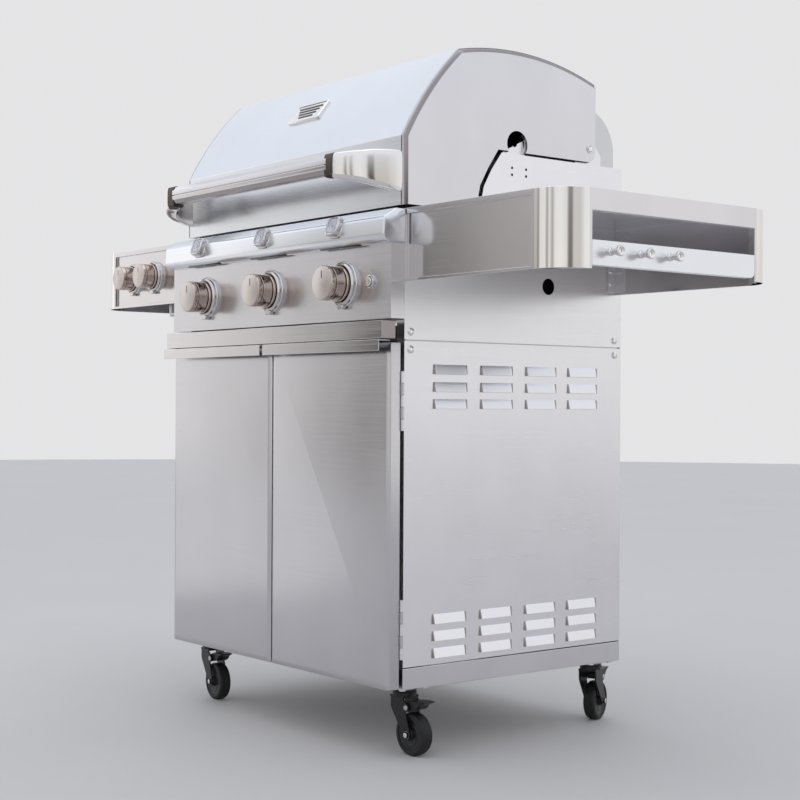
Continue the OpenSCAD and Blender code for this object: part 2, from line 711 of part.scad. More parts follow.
// the part of the outline that the skin and liner cover: the front and the top
module hood_shell_zone() {
    translate([-10, hood_z - 1]) square([100, 400]);
    translate([50, 1196]) square([500, 200]);
}
module hood_skin() {
    color("gainsboro") along_x(-hood_half + 5, 2 * hood_half - 10) intersection() {
        difference() {
            hood_outline();
            hood_outline(1.5);
        }
        hood_shell_zone();
    }
}
module hood_cap_cut() {
    polygon([[172, hood_z - 1], [172, 996], [176, 1014], [195, 1047], [219, 1082], [500, 1082],
        [500, hood_z - 1]]);
    translate([spit_y, 1097]) circle(24);
    difference() {
        translate([447, 1081]) square([30, 26]);
        translate([447, 1104]) circle(22);
    }
}
module hood_sides() {
    color("lightgray") both_sides() {
        difference() {
            along_x(hood_half - cap_t, cap_t) difference() {
                hood_outline();
                hood_cap_cut();
            }
            rod_x([hood_half - 10, pivot_y, pivot_z], hood_pin_r + run_fit, 20);
            // shallow step inside the rim
            along_x(hood_half - 1, 2) difference() {
                hood_outline(rim);
                translate([200, 900]) square([300, 180]);
            }
        }
        along_x(hood_half - 5, 2) intersection() {
            difference() {
                hood_outline();
                hood_outline(rim);
            }
            hood_shell_zone();
        }
    }
}
module hood_liner() {
    color("slategray") along_x(cap_t - hood_half, 2 * (hood_half - cap_t)) intersection() {
        difference() {
            hood_outline(14);
            hood_outline(15.5);
        }
        union() {
            translate([10, 980]) square([100, 400]);
            translate([50, 1190]) square([390, 200]);
        }
    }
}
module handle_outline(inset = 0) {
    blend_band([handle_y, handle_z - 6], 13 - inset, [handle_y, handle_z + 6], 13 - inset);
}
module hood_handle() {
    color("silver") difference() {
        along_x(-handle_half, 2 * handle_half) handle_outline();
        along_x(-handle_half + handle_tube, 2 * (handle_half - handle_tube)) handle_outline(handle_tube);
    }
}
// cast brackets that sweep from the ends of the bar back to the hood's front corners;
// each slice is [x, y, height, turn, height of its middle]
bracket_slices = [[handle_half + 2, handle_y, 45, 0, 1033.5], [290, handle_y + 3, 46, 14, 1033.5],
    [328, handle_y + 22, 55, 40, 1030], [348, handle_y + 52, 66, 72, 1029], [356, -2, 73, 90, 1024.5]];
module bracket_slice(s) {
    translate([s[0], s[1], s[4]]) rotate([0, 0, s[3]]) cube([4, 26, s[2]], center = true);
}
module handle_brackets() {
    color("silver") both_sides() for (i = [0:len(bracket_slices) - 2]) hull() {
        bracket_slice(bracket_slices[i]);
        bracket_slice(bracket_slices[i + 1]);
    }
}
module hood_badge() {
    color("dimgray") translate([0, front_c[0], front_c[1]]) rotate([badge_tilt, 0, 0])
        translate([-badge_w / 2, -badge_h / 2, front_arc_r]) cube([badge_w, badge_h, 3]);
}

// ---------- doors, tray ----------
module door_shape() {
    w = hinge_x - 2 - door_split;
    h = door_top - base_z - 1;
    skin = 1.5;
    // outer skin folded into a pan, and the inner panel that closes its back
    difference() {
        translate([door_split, door_front, base_z + 1]) cube([w, door_t, h]);
        translate([door_split + skin, door_front + skin, base_z + 1 + skin])
            cube([w - 2 * skin, door_t, h - 2 * skin]);
    }
    translate([door_split + skin, door_front + door_t - skin, base_z + 1 + skin])
        cube([w - 2 * skin, skin, h - 2 * skin]);
    for (z = [hinge_low_z, hinge_high_z]) {
        translate([hinge_x - 21, -door_gap, z]) cube([15, 1.2, hinge_h]);
        hinge_tabs(z, 1, -door_gap);
        hinge_knuckles(z, 1);
        translate([hinge_x, -door_gap / 2, z]) cylinder(r = hinge_pin_r, h = hinge_h);
    }
}
module door_right() { color("silver") door_shape(); }
module door_left() { color("silver") mirror([1, 0, 0]) door_shape(); }
module door_lip_shape() {
    difference() {
        translate([5, door_front - lip_out, door_top + 4 - lip_h]) cube([half_w - 7, lip_out, lip_h]);
        translate([4, door_front - lip_out + sheet, door_top + 4 - lip_h - eps])
            cube([half_w, lip_out - sheet, lip_h - sheet]);
    }
}
module door_handle_right() { color("gainsboro") door_lip_shape(); }
module door_handle_left() { color("gainsboro") mirror([1, 0, 0]) door_lip_shape(); }
module drip_tray() {
    color("silver") {
        translate([-tray_w / 2, tray_front + 30, tray_z0]) pan([tray_w, tray_d, 26], 1.5);
        difference() {
            translate([-half_w + 2, tray_front, tray_z0]) cube([cart_w - 4, 30, tray_h]);
            translate([-half_w + 4, tray_front + sheet, tray_z0 - eps])
                cube([cart_w - 8, 30 - 2 * sheet, tray_h - sheet + eps]);
        }
    }
}

place() base_tray();
place() side_panel_left();
place() side_panel_right();
place() back_panel();
place() tray_frame();
place() firebox_side_left();
place() firebox_side_right();
place() firebox();
place() control_panel();
place() visor();
place() gauges();
place() gauge_glasses();
place() light_bars();
place() knob_bezels();
place() manifold();
place() gas_valves();
place() burners();
place() emitter_plates();
place() cooking_grates();
place() warming_rack();
place() rear_guard();
place() shelf_right();
place() hook_rail();
place() tool_hooks();
place() shelf_brackets();
place() shelf_left();
place() side_burner_head();
place() side_burner_grate();
place() panel_screws();
place() caster_plates();
place() hood_skin();
place() hood_sides();
place() hood_liner();
place() hood_handle();
place() handle_brackets();
place() hood_badge();
place() door_left();
place() door_right();
place() door_handle_left();
place() door_handle_right();
place() drip_tray();
place() side_burner_cover();
place() knob_at(knob_xs[0]);  // knob_left
place() knob_at(knob_xs[1]);  // knob_centre
place() knob_at(knob_xs[2]);  // knob_right
place() side_knob_at(side_knob_xs[0]);  // side_knob_outer
place() side_knob_at(side_knob_xs[1]);  // side_knob_inner
place() light_button();
place() fork_at(caster_fl);  // fork_front_left
place() fork_at(caster_fr);  // fork_front_right
place() fork_at(caster_rl);  // fork_rear_left
place() fork_at(caster_rr);  // fork_rear_right
place() wheel_at(caster_fl);  // wheel_front_left
place() wheel_at(caster_fr);  // wheel_front_right
place() wheel_at(caster_rl);  // wheel_rear_left
place() wheel_at(caster_rr);  // wheel_rear_right
place() pedal_at(caster_fl);  // pedal_front_left
place() pedal_at(caster_fr);  // pedal_front_right
place() pedal_at(caster_rl);  // pedal_rear_left
place() pedal_at(caster_rr);  // pedal_rear_right
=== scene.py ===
"""Looks of a gas barbecue grill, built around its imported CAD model."""

import math

import bmesh
import bpy
from mathutils import Matrix, Vector


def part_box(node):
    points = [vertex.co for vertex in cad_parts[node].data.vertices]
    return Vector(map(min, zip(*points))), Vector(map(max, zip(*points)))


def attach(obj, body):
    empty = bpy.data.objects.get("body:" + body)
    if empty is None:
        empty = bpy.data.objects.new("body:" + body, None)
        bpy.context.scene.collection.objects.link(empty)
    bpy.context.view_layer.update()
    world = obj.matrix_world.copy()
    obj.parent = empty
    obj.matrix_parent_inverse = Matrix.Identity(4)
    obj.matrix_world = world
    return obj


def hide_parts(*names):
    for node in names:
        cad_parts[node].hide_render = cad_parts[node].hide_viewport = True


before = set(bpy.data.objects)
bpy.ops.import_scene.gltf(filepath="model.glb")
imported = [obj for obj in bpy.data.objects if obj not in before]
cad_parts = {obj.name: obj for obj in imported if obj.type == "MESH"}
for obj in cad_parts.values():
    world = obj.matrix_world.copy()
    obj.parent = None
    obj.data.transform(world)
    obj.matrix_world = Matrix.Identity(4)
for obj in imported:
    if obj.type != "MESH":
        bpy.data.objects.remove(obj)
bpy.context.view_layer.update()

MM = 0.001
TRAY_LOW, TRAY_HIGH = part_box("base_tray")
# Shapes are drawn in grill millimetres: X from the cart's centre line, Y back from the front
# edge of its side panels and Z up from the floor.
ORIGIN = Vector(((TRAY_LOW.x + TRAY_HIGH.x) / 2, TRAY_LOW.y, 0.0))


def span(node):
    """Lowest and highest corner of a CAD node, in grill millimetres."""
    low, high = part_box(node)
    return (low - ORIGIN) / MM, (high - ORIGIN) / MM


# ---------------------------------------------------------------- materials
def shader(name):
    """A new material, its nodes, its links and its main shader."""
    material = bpy.data.materials.new(name)
    material.use_nodes = True
    nodes, links = material.node_tree.nodes, material.node_tree.links
    return material, nodes, links, nodes["Principled BSDF"]


def noise(nodes, links, scale, detail=4.0, roughness=0.6):
    """Noise in the grill's own frame; scale is the count of features per metre on each axis."""
    coords = nodes.new("ShaderNodeTexCoord")
    mapping = nodes.new("ShaderNodeMapping")
    mapping.inputs["Scale"].default_value = scale
    texture = nodes.new("ShaderNodeTexNoise")
    texture.inputs["Scale"].default_value = 1.0
    texture.inputs["Detail"].default_value = detail
    texture.inputs["Roughness"].default_value = roughness
    links.new(coords.outputs["Object"], mapping.inputs["Vector"])
    links.new(mapping.outputs["Vector"], texture.inputs["Vector"])
    return texture.outputs["Fac"]


def spread(nodes, links, value, low, high, start=0.3, end=0.7):
    """A value between start and end, spread over low to high."""
    node = nodes.new("ShaderNodeMapRange")
    node.inputs["From Min"].default_value = start
    node.inputs["From Max"].default_value = end
    node.inputs["To Min"].default_value = low
    node.inputs["To Max"].default_value = high
    links.new(value, node.inputs["Value"])
    return node.outputs["Result"]


M = {}   # the finishes, by name
GRAIN_DEPTH = 0.15   # millimetres


def finish(name, colour, rough, metallic, grain, blotch, tone=0.05, gloss=0.05, bump=0.12,
           coat=0.0, coat_rough=0.1, specular=0.5, brushed=0.0):
    """A surface with fine grain, slow blotches of tone and gloss, and a little relief.
    Grain and blotch are counts of features per metre, on each axis."""
    material, nodes, links, bsdf = shader(name)
    fine = noise(nodes, links, grain)
    slow = noise(nodes, links, blotch, detail=3.0)
    mix = nodes.new("ShaderNodeMix")
    mix.data_type = "RGBA"
    mix.inputs["A"].default_value = [c * (1 - tone) for c in colour] + [1]
    mix.inputs["B"].default_value = [min(1.0, c * (1 + tone)) for c in colour] + [1]
    links.new(spread(nodes, links, slow, 0, 1), mix.inputs["Factor"])
    links.new(mix.outputs["Result"], bsdf.inputs["Base Color"])
    added = nodes.new("ShaderNodeMath")
    added.operation = "ADD"
    links.new(spread(nodes, links, fine, rough - gloss, rough + gloss), added.inputs[0])
    links.new(spread(nodes, links, slow, -gloss / 2, gloss / 2), added.inputs[1])
    links.new(added.outputs["Value"], bsdf.inputs["Roughness"])
    relief = nodes.new("ShaderNodeBump")
    relief.inputs["Strength"].default_value = bump
    relief.inputs["Distance"].default_value = GRAIN_DEPTH * MM
    links.new(fine, relief.inputs["Height"])
    links.new(relief.outputs["Normal"], bsdf.inputs["Normal"])
    bsdf.inputs["Metallic"].default_value = metallic
    bsdf.inputs["Anisotropic"].default_value = brushed
    bsdf.inputs["Specular IOR Level"].default_value = specular
    bsdf.inputs["Coat Weight"].default_value = coat
    bsdf.inputs["Coat Roughness"].default_value = coat_rough
    M[name] = material


LEVEL = (4, 4, 420)         # grain of upright sheet, brushed level
ALONG_X = (4, 380, 380)     # grain along the grill's width
SPECKLE = (900, 900, 900)   # fine grain with no direction
STEEL = (0.66, 0.65, 0.67)
finish("steel", STEEL, 0.23, 1, LEVEL, (5, 5, 3), tone=0.04, gloss=0.025, bump=0.02,
       brushed=0.35)
# the doors' steel: the same steel painted 13 % darker, as painted shade
finish("steel_door_painted_shade", tuple(0.87 * c for c in STEEL), 0.23, 1, LEVEL, (5, 5, 3), tone=0.04,
       gloss=0.025, bump=0.02, brushed=0.35)
finish("steel_side", (0.80, 0.79, 0.81), 0.30, 1, LEVEL, (4, 4, 3), tone=0.04, gloss=0.025,
       bump=0.02, brushed=0.35)
finish("steel_top", (0.76, 0.775, 0.80), 0.23, 1, ALONG_X, (4, 4, 4), tone=0.03, gloss=0.04,
       bump=0.03, brushed=0.35)
finish("steel_fine", (0.66, 0.64, 0.65), 0.15, 1, LEVEL, (5, 5, 3), tone=0.04, gloss=0.03,
       bump=0.03)
finish("steel_soft", (0.60, 0.60, 0.61), 0.34, 1, LEVEL, (6, 6, 6), bump=0.06)
finish("polished", (0.80, 0.78, 0.76), 0.06, 1, SPECKLE, (9, 9, 9), tone=0.03, gloss=0.02,
       bump=0.03)
finish("chrome", (0.62, 0.60, 0.595), 0.07, 1, SPECKLE, (9, 9, 9), tone=0.03, gloss=0.02,
       bump=0.03)
finish("nickel", (0.56, 0.46, 0.40), 0.15, 1, SPECKLE, (12, 12, 12), tone=0.05, gloss=0.03,
       bump=0.04)
finish("nickel_face", (0.60, 0.545, 0.515), 0.32, 1, (60, 60, 1500), (14, 14, 14), tone=0.04,
       bump=0.1, brushed=0.3)
# painted shade: a dark steel that stands in for shade and dark reflections on the hood caps'
# chamfers, the handle bar's groove and underside, the louvres' round ends and the ends of the
# drip tray's front
finish("steel_painted_shade", (0.30, 0.27, 0.27), 0.16, 1, SPECKLE, (12, 12, 12), tone=0.06, gloss=0.03,
       bump=0.03)
# dark metal: the real colour of the badge's ribs, and painted shade on the handle's collars and
# in the knobs' grooves
finish("dark_metal_and_painted_shade", (0.10, 0.085, 0.075), 0.25, 1, SPECKLE, (30, 30, 30), tone=0.3, bump=0.4)
finish("plated", (0.50, 0.50, 0.51), 0.36, 1, SPECKLE, (20, 20, 20), tone=0.08, gloss=0.08)
finish("liner", (0.42, 0.42, 0.43), 0.40, 1, ALONG_X, (5, 5, 5), tone=0.1, gloss=0.08)
finish("enamel", (0.018, 0.018, 0.020), 0.22, 0, SPECKLE, (14, 14, 14), tone=0.2, gloss=0.06,
       coat=0.6, coat_rough=0.08)
finish("grate", (0.30, 0.295, 0.29), 0.38, 1, (300, 300, 300), (16, 16, 16), tone=0.15,
       gloss=0.1, bump=0.3)
finish("brass", (0.66, 0.50, 0.25), 0.28, 1, SPECKLE, (30, 30, 30), tone=0.1, gloss=0.08)
finish("black_metal", (0.007, 0.007, 0.008), 0.34, 0, SPECKLE, (30, 30, 30), tone=0.3,
       gloss=0.08, bump=0.3, coat=0.1, coat_rough=0.15, specular=0.35)
finish("black_plastic", (0.009, 0.009, 0.010), 0.38, 0, (1500, 1500, 1500), (40, 40, 40),
       tone=0.25, gloss=0.08, bump=0.5, specular=0.35)
finish("rubber", (0.012, 0.012, 0.013), 0.50, 0, (1200, 1200, 1200), (50, 50, 50), tone=0.3,
       gloss=0.1, bump=0.6, specular=0.35)
finish("hub", (0.012, 0.012, 0.013), 0.30, 0, SPECKLE, (60, 60, 60), tone=0.25, gloss=0.08,
       bump=0.2)
finish("lamp", (0.02, 0.02, 0.025), 0.12, 0, (400, 400, 400), (40, 40, 40), tone=0.3,
       gloss=0.04, bump=0.1, coat=0.5, coat_rough=0.05)
finish("dial", (0.88, 0.88, 0.91), 0.35, 0, SPECKLE, (60, 60, 60), tone=0.03)


def glass():
    """The gauges' clear lenses, slightly smeared."""
    material, nodes, links, bsdf = shader("gauge_glass")
    smear = noise(nodes, links, (90, 90, 90))
    links.new(spread(nodes, links, smear, 0.02, 0.07), bsdf.inputs["Roughness"])
    bsdf.inputs["Base Color"].default_value = (0.95, 0.96, 1.0, 1)
    bsdf.inputs["Transmission Weight"].default_value = 0.85
    bsdf.inputs["IOR"].default_value = 1.45
    M["glass"] = material


glass()


# ---------------------------------------------------------------- shapes
def arc(centre, radius, start, end, steps):
    """Points on a circle from one angle to another, in degrees."""
    angles = [math.radians(start + (end - start) * i / steps) for i in range(steps + 1)]
    return [(centre[0] + radius * math.cos(a), centre[1] + radius * math.sin(a)) for a in angles]


def rounded(width, height, radius, steps=6):
    """Outline of a rounded rectangle about the origin."""
    outline = []
    for sx, sy, start in ((1, 1, 0), (-1, 1, 90), (-1, -1, 180), (1, -1, 270)):
        corner = (sx * (width / 2 - radius), sy * (height / 2 - radius))
        outline += arc(corner, radius, start, start + 90, steps)
    return outline


def squircle(width, height, power=6, steps=40):
    """Outline of a superellipse about the origin."""
    outline = []
    for i in range(steps):
        a = 2 * math.pi * i / steps
        c, s = math.cos(a), math.sin(a)
        outline.append((math.copysign(abs(c) ** (2 / power), c) * width / 2,
                        math.copysign(abs(s) ** (2 / power), s) * height / 2))
    return outline


def frame_of(direction):
    """Rotation that turns +Z to the direction."""
    return Vector(direction).to_track_quat("Z", "Y").to_matrix()


class Shape:
    """Gathers the geometry of one piece, in grill millimetres."""

    def __init__(self):
        self.bm = bmesh.new()

    def loft(self, rings, looped=False):
        """A skin over rings of points; looped joins the last ring to the first."""
        made = [[self.bm.verts.new(p) for p in ring] for ring in rings]
        pairs = list(zip(made, made[1:])) + ([(made[-1], made[0])] if looped else [])
        count = len(made[0])
        for a, b in pairs:
            for i in range(count):
                j = (i + 1) % count
                self.bm.faces.new((a[i], a[j], b[j], b[i]))
        if not looped:
            self.bm.faces.new(made[0][::-1])
            self.bm.faces.new(made[-1])
        return self

    def prism(self, outline, axis, start, length):
        """An outline drawn out along an axis: (y, z) along x, (x, z) along y, (x, y) along z."""
        place = {
            "x": lambda p, t: (t, p[0], p[1]),
            "y": lambda p, t: (p[0], t, p[1]),
            "z": lambda p, t: (p[0], p[1], t),
        }[axis]
        return self.loft([[place(p, t) for p in outline] for t in (start, start + length)])

    def box(self, low, high):
        """A block between its lowest and highest corner."""
        outline = [(low[0], low[1]), (high[0], low[1]), (high[0], high[1]), (low[0], high[1])]
        return self.prism(outline, "z", low[2], high[2] - low[2])

    def lathe(self, profile, centre, direction, steps=72, looped=False):
        """A profile of (radius, reach) turned about an axis."""
        turn, origin = frame_of(direction), Vector(centre)
        rings = []
        for radius, reach in profile:
            ring = []
            for i in range(steps):
                a = 2 * math.pi * i / steps
                ring.append(origin + turn @ Vector((radius * math.cos(a), radius * math.sin(a),
                                                    reach)))
            rings.append(ring)
        return self.loft(rings, looped)

    def stack(self, layers, centre, direction):
        """Outlines at rising reaches along an axis: [(outline, reach), ...]."""
        turn, origin = frame_of(direction), Vector(centre)
        rings = [[origin + turn @ Vector((p[0], p[1], reach)) for p in outline]
                 for outline, reach in layers]
        return self.loft(rings)

    def mirrored(self):
        """Adds the mirror image across the grill's centre line."""
        whole = self.bm.verts[:] + self.bm.edges[:] + self.bm.faces[:]
        for item in bmesh.ops.duplicate(self.bm, geom=whole)["geom"]:
            if isinstance(item, bmesh.types.BMVert):
                item.co.x = -item.co.x
        return self


def piece(name, shape, body, material, replaces=(), bevel=0.0, segments=2, crease=32,
          accent=None, accented=None):
    """Makes the object of one piece and ties it to its CAD body. Edges sharper than crease
    degrees stay sharp or get the bevel. Faces whose middle passes the accented test get the
    accent's finish."""
    bmesh.ops.recalc_face_normals(shape.bm, faces=shape.bm.faces[:])
    if accent:
        for face in shape.bm.faces:
            face.material_index = int(accented(face.calc_center_median()))
    shape.bm.transform(Matrix.Translation(ORIGIN) @ Matrix.Scale(MM, 4))
    mesh = bpy.data.meshes.new(name)
    shape.bm.to_mesh(mesh)
    shape.bm.free()
    mesh.polygons.foreach_set("use_smooth", [True] * len(mesh.polygons))
    mesh.materials.append(M[material])
    if accent:
        mesh.materials.append(M[accent])
    obj = bpy.data.objects.new(name, mesh)
    bpy.context.scene.collection.objects.link(obj)
    if bevel:
        round_edges(obj, bevel, segments, crease)
    else:
        mesh.set_sharp_from_angle(angle=math.radians(crease))
    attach(obj, body)
    if replaces:
        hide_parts(*replaces)


def round_edges(obj, width, segments=2, angle=32):
    """Small radii on the sharp edges, with clean shading on the flats between them."""
    rounding = obj.modifiers.new("edges", "BEVEL")
    rounding.width = width * MM
    rounding.segments = segments
    rounding.limit_method = "ANGLE"
    rounding.angle_limit = math.radians(angle)
    rounding.use_clamp_overlap = True
    flats = obj.modifiers.new("flats", "WEIGHTED_NORMAL")
    flats.weight = 100
    flats.keep_sharp = False


# ---------------------------------------------------------------- CAD nodes that stay
def dress(node, material, bevel, flatten):
    """Gives a CAD node its finish and rounds its edges. Flatten joins the triangles of each
    flat face, which a pierced grate can't have."""
    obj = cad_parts[node]
    obj.data.materials.clear()
    obj.data.materials.append(M[material])
    obj.data.polygons.foreach_set("use_smooth", [True] * len(obj.data.polygons))
    weld = obj.modifiers.new("weld", "WELD")
    weld.merge_threshold = 0.01 * MM
    if flatten:
        flat = obj.modifiers.new("flatten", "DECIMATE")
        flat.decimate_type = "DISSOLVE"
        flat.angle_limit = math.radians(0.5)
    round_edges(obj, bevel)


# the middle of each caster's plate and the bearing that its wheel trails at, in degrees
CASTERS = {"front_left": (-326, 41, -5), "front_right": (326, 41, 3),
           "rear_left": (-329, 502, 100), "rear_right": (329, 502, 114)}
# node: (finish, width of its rounded edges)
DRESSED = {
    "base_tray": ("steel", 0.9), "back_panel": ("steel_soft", 0.5),
    "tray_frame": ("plated", 0.5), "firebox_side_left": ("steel_side", 0.6),
    "firebox_side_right": ("steel_side", 0.6), "firebox": ("enamel", 0.6),
    "control_panel": ("steel", 0.9), "manifold": ("plated", 0.5), "gas_valves": ("brass", 1.0),
    "burners": ("steel_soft", 0.6), "emitter_plates": ("steel_soft", 0.5),
    "cooking_grates": ("grate", 0.6), "warming_rack": ("polished", 0.4),
    "rear_guard": ("steel_soft", 0.6), "shelf_brackets": ("steel_side", 0.5),
    "side_burner_head": ("enamel", 1.0), "side_burner_grate": ("grate", 0.6),
    "caster_plates": ("plated", 0.5), "hood_liner": ("liner", 0.4),
    "drip_tray": ("steel_fine", 0.8), "side_burner_cover": ("steel_top", 1.0),
    "door_handle_left": ("steel_fine", 1.2), "door_handle_right": ("steel_fine", 1.2),
    "shelf_left": ("steel_fine", 0.8), "shelf_right": ("steel_fine", 0.8),
    "light_button": ("polished", 1.5),
}
for corner in CASTERS:
    DRESSED["fork_" + corner] = ("black_metal", 0.8)
PIERCED = ("cooking_grates", "side_burner_grate", "warming_rack")
for node, (material, bevel) in DRESSED.items():
    dress(node, material, bevel, node not in PIERCED)


def face_finishes(node, materials, choose):
    """Gives some faces of a CAD node another finish: choose takes a face's middle and normal
    and says which of the materials it gets, or 0 for the node's own."""
    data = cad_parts[node].data
    for material in materials:
        data.materials.append(M[material])
    for polygon in data.polygons:
        polygon.material_index = choose((polygon.center - ORIGIN) / MM, polygon.normal)


CORNER_R = 64   # of the shelves' outer corners
SHELF_X = span("shelf_right")[1].x


def shelf_face(at, normal):
    """The shelves' rounded corners are polished covers, and their tops are brushed along X."""
    if abs(normal.z) > 0.9:
        return 2
    return int(abs(at.x) > SHELF_X - CORNER_R and 0.02 < abs(normal.x) < 0.999)


def tray_end_painted_reflection(at, normal):
    """The ends of the drip tray's front are painted dark, as a painted dark reflection."""
    return int(abs(normal.x) > 0.9 and at.y < 0)


face_finishes("shelf_left", ["polished", "steel_top"], shelf_face)
face_finishes("shelf_right", ["polished", "steel_top"], shelf_face)
face_finishes("drip_tray", ["steel_painted_shade"], tray_end_painted_reflection)


# ---------------------------------------------------------------- hood
HOOD_LOW, HOOD_HIGH = span("hood_skin")
HOOD_Z = HOOD_LOW.z
HOOD_D = HOOD_HIGH.y
# side outline, as (y, z): the crease over the upright front, the crest and the rear top edge
CREASE = Vector((0, 1087))
CREST = Vector((126, 1255))
BACK = Vector((HOOD_D, 1235))
FRONT_R, TOP_R = 617, 623
REAR_EDGE_Z = 1197
SKIN_T = 1.5
CAP_X = span("hood_sides")[1].x
CAP_OUT = 6   # how far a cap stands out from the end of the skin


def arc_between(p, q, radius, steps):
    """Arc that bulges up and forward from p to q."""
    way = q - p
    middle = (p + q) / 2
    side = Vector((way.y, -way.x)).normalized()
    centre = middle + side * math.sqrt(radius ** 2 - way.length_squared / 4)
    start = math.degrees(math.atan2(p.y - centre.y, p.x - centre.x))
    end = math.degrees(math.atan2(q.y - centre.y, q.x - centre.x))
    return arc(centre, radius, start, end, steps)


def hood_front_and_top():
    """Side outline of the hood from its front bottom edge to its rear top edge."""
    line = [(0.0, HOOD_Z), (0.0, CREASE.y)]
    line += arc_between(CREASE, CREST, FRONT_R, 16)[1:]
    line += arc_between(CREST, BACK, TOP_R, 24)[1:]
    return line


def offset(outline, amounts):
    """A closed outline moved inwards; edge i, from point i to i + 1, moves by amounts[i]."""
    count = len(outline)
    moved = []
    for i in range(count):
        before, here, after = (Vector(outline[(i + k) % count]) for k in (-1, 0, 1))
        d0, d1 = (here - before).normalized(), (after - here).normalized()
        n0, n1 = Vector((d0.y, -d0.x)), Vector((d1.y, -d1.x))
        a0, a1 = amounts[i - 1], amounts[i]
        cross = n0.x * n1.y - n0.y * n1.x
        if abs(cross) < 0.02:
            moved.append(here + n1 * (a0 + a1) / 2)
        else:
            moved.append(here + Vector((a0 * n1.y - a1 * n0.y, n0.x * a1 - n1.x * a0)) / cross)
    return moved


def hood_skin():
    """The bent sheet, from the front bottom edge over the top to the folded rear edge."""
    outer = hood_front_and_top()
    rear = [(HOOD_D, REAR_EDGE_Z), (HOOD_D - SKIN_T, REAR_EDGE_Z)]
    # the inside lies mostly behind the front and mostly below the top
    turn = 150
    inner = []
    for y, z in outer:
        below = 0.2 + 0.8 * min(1, max(0, (z - CREASE.y) / turn))
        inner.append((y + SKIN_T * 0.8, z - SKIN_T * below))
    inner[0] = (SKIN_T, HOOD_Z)
    inner[-1] = (HOOD_D - SKIN_T, BACK.y - SKIN_T)
    half = CAP_X - CAP_OUT
    shape = Shape().prism(outer + rear + inner[::-1], "x", -half, 2 * half)
    # folded hem along the bottom edge
    hem = 9
    shape.box((2 - half, 0.2, HOOD_Z), (half - 2, hem, HOOD_Z + SKIN_T))
    piece("hood_shell", shape, "hood", "steel_top", ["hood_skin"],
          bevel=1.2, segments=3, crease=20)


def hood_cap_outline():
    """Closed side outline of an end cap, with the step over the side panel, the notch for
    the spit and the round rear corner; and how wide the rim is along each edge, as a share."""
    front = hood_front_and_top()
    corner_z, corner_r = 1104, 22
    spit, spit_r = (265, 1097), 24
    cut = [(HOOD_D, corner_z)] + arc((447, corner_z), corner_r, 0, -90, 8)[1:]
    cut += arc(spit, spit_r, -38.7, 218.7, 18)
    cut += [(219, 1082), (195, 1047), (176, 1014), (172, 996), (172, HOOD_Z)]
    rim = [1.0] * (len(front) - 1) + [0.12] * (len(cut) + 1)
    return front + cut, rim


def hood_caps():
    """The end caps, with a rolled bead and a chamfer round a flat side."""
    outline, rim = hood_cap_outline()
    # (inset, distance out from the skin's end)
    section = [(SKIN_T, -3.0), (0.0, -3.0), (0.0, 0.2), (0.5, 1.1), (1.5, 1.3), (2.3, 0.7),
               (3.0, 0.8), (9.0, 5.6), (10.2, 6.0), (11.5, 6.0)]
    rings = []
    for inset, out in section:
        line = offset(outline, [inset * share for share in rim])
        rings.append([(CAP_X - CAP_OUT + out, p.x, p.y) for p in line])
    shape = Shape().loft(rings).mirrored()
    # the chamfer is painted darker, as painted shade
    piece("hood_caps", shape, "hood", "steel", ["hood_sides"], crease=24,
          accent="steel_painted_shade", accented=lambda at: CAP_X - 5.1 < abs(at.x) < CAP_X - 0.5)


hood_skin()
hood_caps()

# ---------------------------------------------------------------- handle and badge
BAR_LOW, BAR_HIGH = span("hood_handle")
BAR_X = BAR_HIGH.x
BAR_Y = (BAR_LOW.y + BAR_HIGH.y) / 2
BAR_Z = (BAR_LOW.z + BAR_HIGH.z) / 2
# (y, z) round the bar: a fine groove runs along the middle of its front
BAR_SECTION = [(-4, 18.6), (-9.5, 16.5), (-12.6, 9), (-13, 1.6), (-11.9, 0.7), (-11.9, -0.7),
               (-13, -1.6), (-12.2, -9), (-9.5, -16.5), (-4, -18.6), (4, -18.6), (9.5, -16.5),
               (12.6, -9), (13, 0), (12.6, 9), (9.5, 16.5), (4, 18.6)]


def handle():
    """The bar, painted dark in its groove and underneath as painted shade, and the ribbed collars
    at its ends, painted dark as painted shade and dark reflection.
    """
    bar = Shape().prism([(BAR_Y + y, BAR_Z + z) for y, z in BAR_SECTION], "x", -BAR_X - 6,
                        2 * BAR_X + 12)
    # the groove and the underside get painted shade
    piece("handle_bar", bar, "hood", "steel_fine", ["hood_handle"], bevel=1.4,
          segments=3, crease=14, accent="steel_painted_shade",
          accented=lambda at: at.z < BAR_Z - 10 or abs(at.z - BAR_Z) < 1)
    rings = []
    ribs, length, groove = 11, 24, 0.9
    for i in range(2 * ribs + 1):
        inset = groove if i % 2 else 0.0
        x = BAR_X + 1 + length * i / (2 * ribs)
        rings.append([(x, BAR_Y + y, BAR_Z - 2 + z)
                      for y, z in squircle(25 - inset, 42.5 - inset, 5)])
    # the collars are painted dark: painted shade and dark reflection at the brackets' mouths
    collars = Shape().loft(rings).mirrored()
    piece("handle_collars_painted_shade", collars, "hood", "dark_metal_and_painted_shade", crease=50)


# x and y of the outer face, thickness, height and z of the middle, from the bar to the hood
BRACKET = [(286, -95, 24, 45, 1033.5), (302, -90.5, 24, 47, 1032.6),
           (320, -82, 23, 51, 1031.2), (336, -69, 21, 56, 1029.6),
           (348, -52, 19, 62, 1028.2), (356, -33, 17, 67, 1026.6),
           (361, -14, 15, 71, 1025.0), (363.5, 0, 14, 73, 1024.3)]


